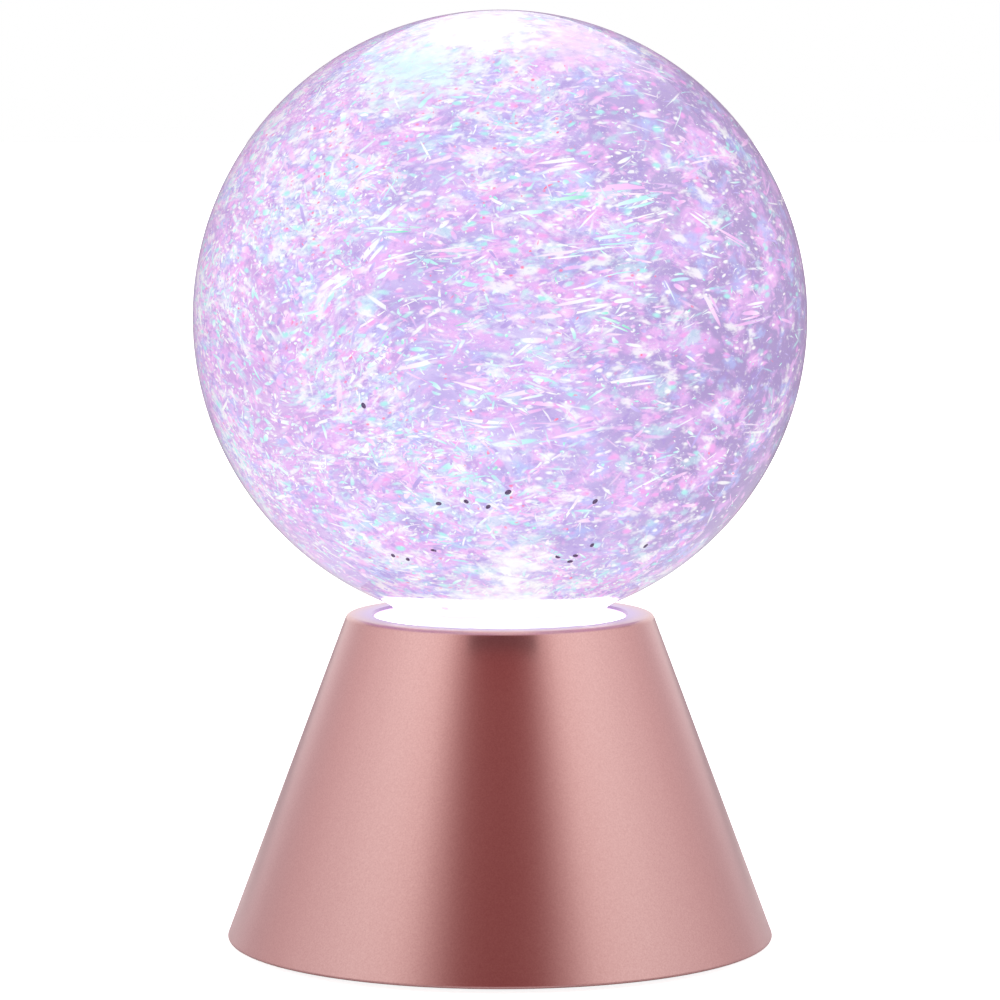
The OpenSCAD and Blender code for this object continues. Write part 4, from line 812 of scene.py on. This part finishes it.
def studio_floor():
    """Pale seamless floor that darkens away from the lamp in reflections.

    It is seen from above only, and lets light through to the lamp's underside.
    """
    made, tree, shader = new_material("Pale paper sweep", Roughness=0.9, Specular_IOR_Level=0.1,
                                      Emission_Color=colour("#FFFFFF"))
    place = add_node(tree, "TexCoord").outputs["Object"]
    fibre = add_node(tree, "TexNoise", {"Vector": place, "Scale": per_mm(1.5), "Detail": 2.0})
    paper = ramp(tree, fibre.outputs["Fac"], [(0.3, "#F4F4F4"), (0.7, "#FAFAFA")])
    far = add_node(tree, "VectorMath", {0: place}, operation="LENGTH").outputs["Value"]
    room = ramp(tree, far, [(FLOOR_NEAR, "#F4F4F4"), (FLOOR_FAR, "#A5A0AA")])
    seen = add_node(tree, "LightPath").outputs["Is Camera Ray"]
    tone = add_node(tree, "Mix", {0: seen, 6: room, 7: paper}, data_type="RGBA").outputs[2]
    lift = add_node(tree, "Math", {0: seen, 1: FLOOR_LIFT}, operation="MULTIPLY").outputs[0]
    tree.links.new(tone, shader.inputs["Base Color"])
    tree.links.new(lift, shader.inputs["Emission Strength"])
    clear = add_node(tree, "BsdfTransparent")
    under = add_node(tree, "NewGeometry").outputs["Backfacing"]
    below = add_node(tree, "Math", {0: far, 1: UNDERSIDE_R}, operation="LESS_THAN").outputs[0]
    below = add_node(tree, "Math", {0: below, 1: seen}, operation="SUBTRACT").outputs[0]
    open_to = add_node(tree, "Math", {0: under, 1: below}, operation="MAXIMUM").outputs[0]
    mixed = add_node(tree, "MixShader", {0: open_to, 1: shader.outputs[0], 2: clear.outputs[0]})
    tree.links.new(mixed.outputs[0], tree.nodes["Material Output"].inputs["Surface"])

    def make(bm):
        bmesh.ops.create_circle(bm, cap_ends=True, segments=FLOOR_SIDES, radius=FLOOR_R)

    new_stage("studio_floor", make, made)


# Light round the lamp by the angle from the front, as a share of half a turn: dim in front, soft boxes at the
# sides, paper behind
STUDIO_RING = (
    (0.00, "#8A4F4F"), (0.11, "#905555"), (0.18, "#CDB2B2"), (0.24, "#FFF9F8"), (0.36, "#FFFFFF"),
    (0.52, "#EEE7E9"), (0.62, "#DFD1D4"), (0.72, "#D3C8CD"), (0.80, "#E6E1E6"), (0.88, "#FAFAFB"),
    (1.00, "#FFFFFF"),
)
STUDIO_LEVEL = 1.2
# Heights between which the light from the sides passes into the light from above
DOME_START, DOME_FULL = 0.75, 0.95

# The card behind the globe is a ring that is wide at the sides and thin over the top: its ends and the reach
# of its tapers as angles from the top, its inner edge, how wide it is at least and at most, and how far back
# it stands
CARD_END, CARD_TAPER, CARD_END_TAPER = 112.0, 45.0, 30.0
CARD_IN, CARD_THIN, CARD_WIDE = GLOBE_R + 3 * MM, 3 * MM, GLOBE_R - 3 * MM
CARD_BACK = GLOBE_R / 2
CARD_STEPS = 96


def studio_light():
    """Soft light from all round, and plain white paper where the camera looks past the lamp."""
    world = bpy.data.worlds.new("Soft studio")
    world.use_nodes = True
    tree = world.node_tree
    way = add_node(tree, "TexCoord").outputs["Generated"]
    flat = add_node(tree, "VectorMath", {0: way, 1: (1, 1, 0)}, operation="MULTIPLY").outputs[0]
    flat = add_node(tree, "VectorMath", {0: flat}, operation="NORMALIZE").outputs[0]
    front = add_node(tree, "VectorMath", {0: flat, 1: (0, -1, 0)}, operation="DOT_PRODUCT").outputs["Value"]
    angle = add_node(tree, "Math", {0: front}, operation="ARCCOSINE").outputs[0]
    turn = add_node(tree, "Math", {0: angle, 1: math.pi}, operation="DIVIDE").outputs[0]
    ring = ramp(tree, turn, STUDIO_RING, interpolation="EASE")
    height = add_node(tree, "SeparateXYZ", {0: way}).outputs[2]
    over = add_node(tree, "MapRange", {"Value": height, "From Min": DOME_START, "From Max": DOME_FULL})
    above = colour("#F0F0F0")
    dome = add_node(tree, "Mix", {0: over.outputs[0], 6: ring, 7: above}, data_type="RGBA").outputs[2]
    lamps = add_node(tree, "Background", {"Color": dome, "Strength": STUDIO_LEVEL})
    paper = add_node(tree, "Background", {"Color": colour("#FFFFFF"), "Strength": 1.0})
    seen = add_node(tree, "LightPath").outputs["Is Camera Ray"]
    both = add_node(tree, "MixShader", {0: seen, 1: lamps.outputs[0], 2: paper.outputs[0]})
    tree.links.new(both.outputs[0], tree.nodes["World Output"].inputs["Surface"])
    bpy.context.scene.world = world


def outline_card():
    """Grey card behind the globe, out of the camera's sight: the globe's edge mirrors it, as an outline."""
    def make(bm):
        inner, outer = [], []
        for i in range(CARD_STEPS + 1):
            turn = CARD_END * (2 * i / CARD_STEPS - 1)
            full = min(1.0, (turn / CARD_TAPER) ** 2, (CARD_END - abs(turn)) / CARD_END_TAPER)
            way = Vector((math.sin(math.radians(turn)), 0.0, math.cos(math.radians(turn))))
            wide = CARD_THIN + (CARD_WIDE - CARD_THIN) * full
            for arc, reach in ((inner, CARD_IN), (outer, CARD_IN + wide)):
                arc.append(bm.verts.new(GLOBE_MID + way * reach + Vector((0.0, CARD_BACK, 0.0))))
        for i in range(CARD_STEPS):
            bm.faces.new((inner[i], outer[i], outer[i + 1], inner[i + 1]))

    card = new_stage("outline_card", make, moulded("Grey card", "#D0CCD5", 0.8, 0.5, 0.01))
    card.visible_camera = False


# The dull red card over the front of the rim: its middle, its width and height, and how far it leans back
FLAG_AT = Vector((1.0 * MM, -40.4 * MM, SHELL_TOP + 5.4 * MM))
FLAG_WIDE, FLAG_HIGH = 24 * MM, 4 * MM
FLAG_LEAN = math.radians(56.5)


def rim_flag():
    """Small dull card over the front of the rim, out of the camera's sight: the paint under it mirrors it."""
    def make(bm):
        place = Matrix.Translation(FLAG_AT) @ Matrix.Rotation(FLAG_LEAN, 4, "X")
        signs = ((-1, -1), (1, -1), (1, 1), (-1, 1))
        corners = [Vector((x * FLAG_WIDE / 2, y * FLAG_HIGH / 2, 0.0)) for x, y in signs]
        bm.faces.new([bm.verts.new(place @ corner) for corner in corners])

    card = new_stage("rim_flag", make, moulded("Dull red card", "#7A4A4A", 0.8, 0.5, 0.01))
    card.visible_camera = False


# Camera of the photograph: focal length and sensor (mm), and place (m)
LENS_LONG, SENSOR_WIDE = 159.32, 36.0
CAMERA_AT = (0.0, -0.86487, 0.16865)


def front_camera():
    """Camera of the photograph: a long lens a little above the globe's middle, looking down."""
    lens = bpy.data.cameras.new("front_camera")
    lens.lens = LENS_LONG
    lens.sensor_width = SENSOR_WIDE
    camera = bpy.data.objects.new("front_camera", lens)
    camera.location = CAMERA_AT
    camera.rotation_euler = (math.pi / 2 - VIEW_DOWN, 0.0, 0.0)
    bpy.context.scene.collection.objects.link(camera)
    bpy.context.scene.camera = camera


studio_floor()
studio_light()
outline_card()
rim_flag()
front_camera()
bpy.context.scene.view_settings.view_transform = "Standard"
bpy.context.scene.view_settings.look = "None"
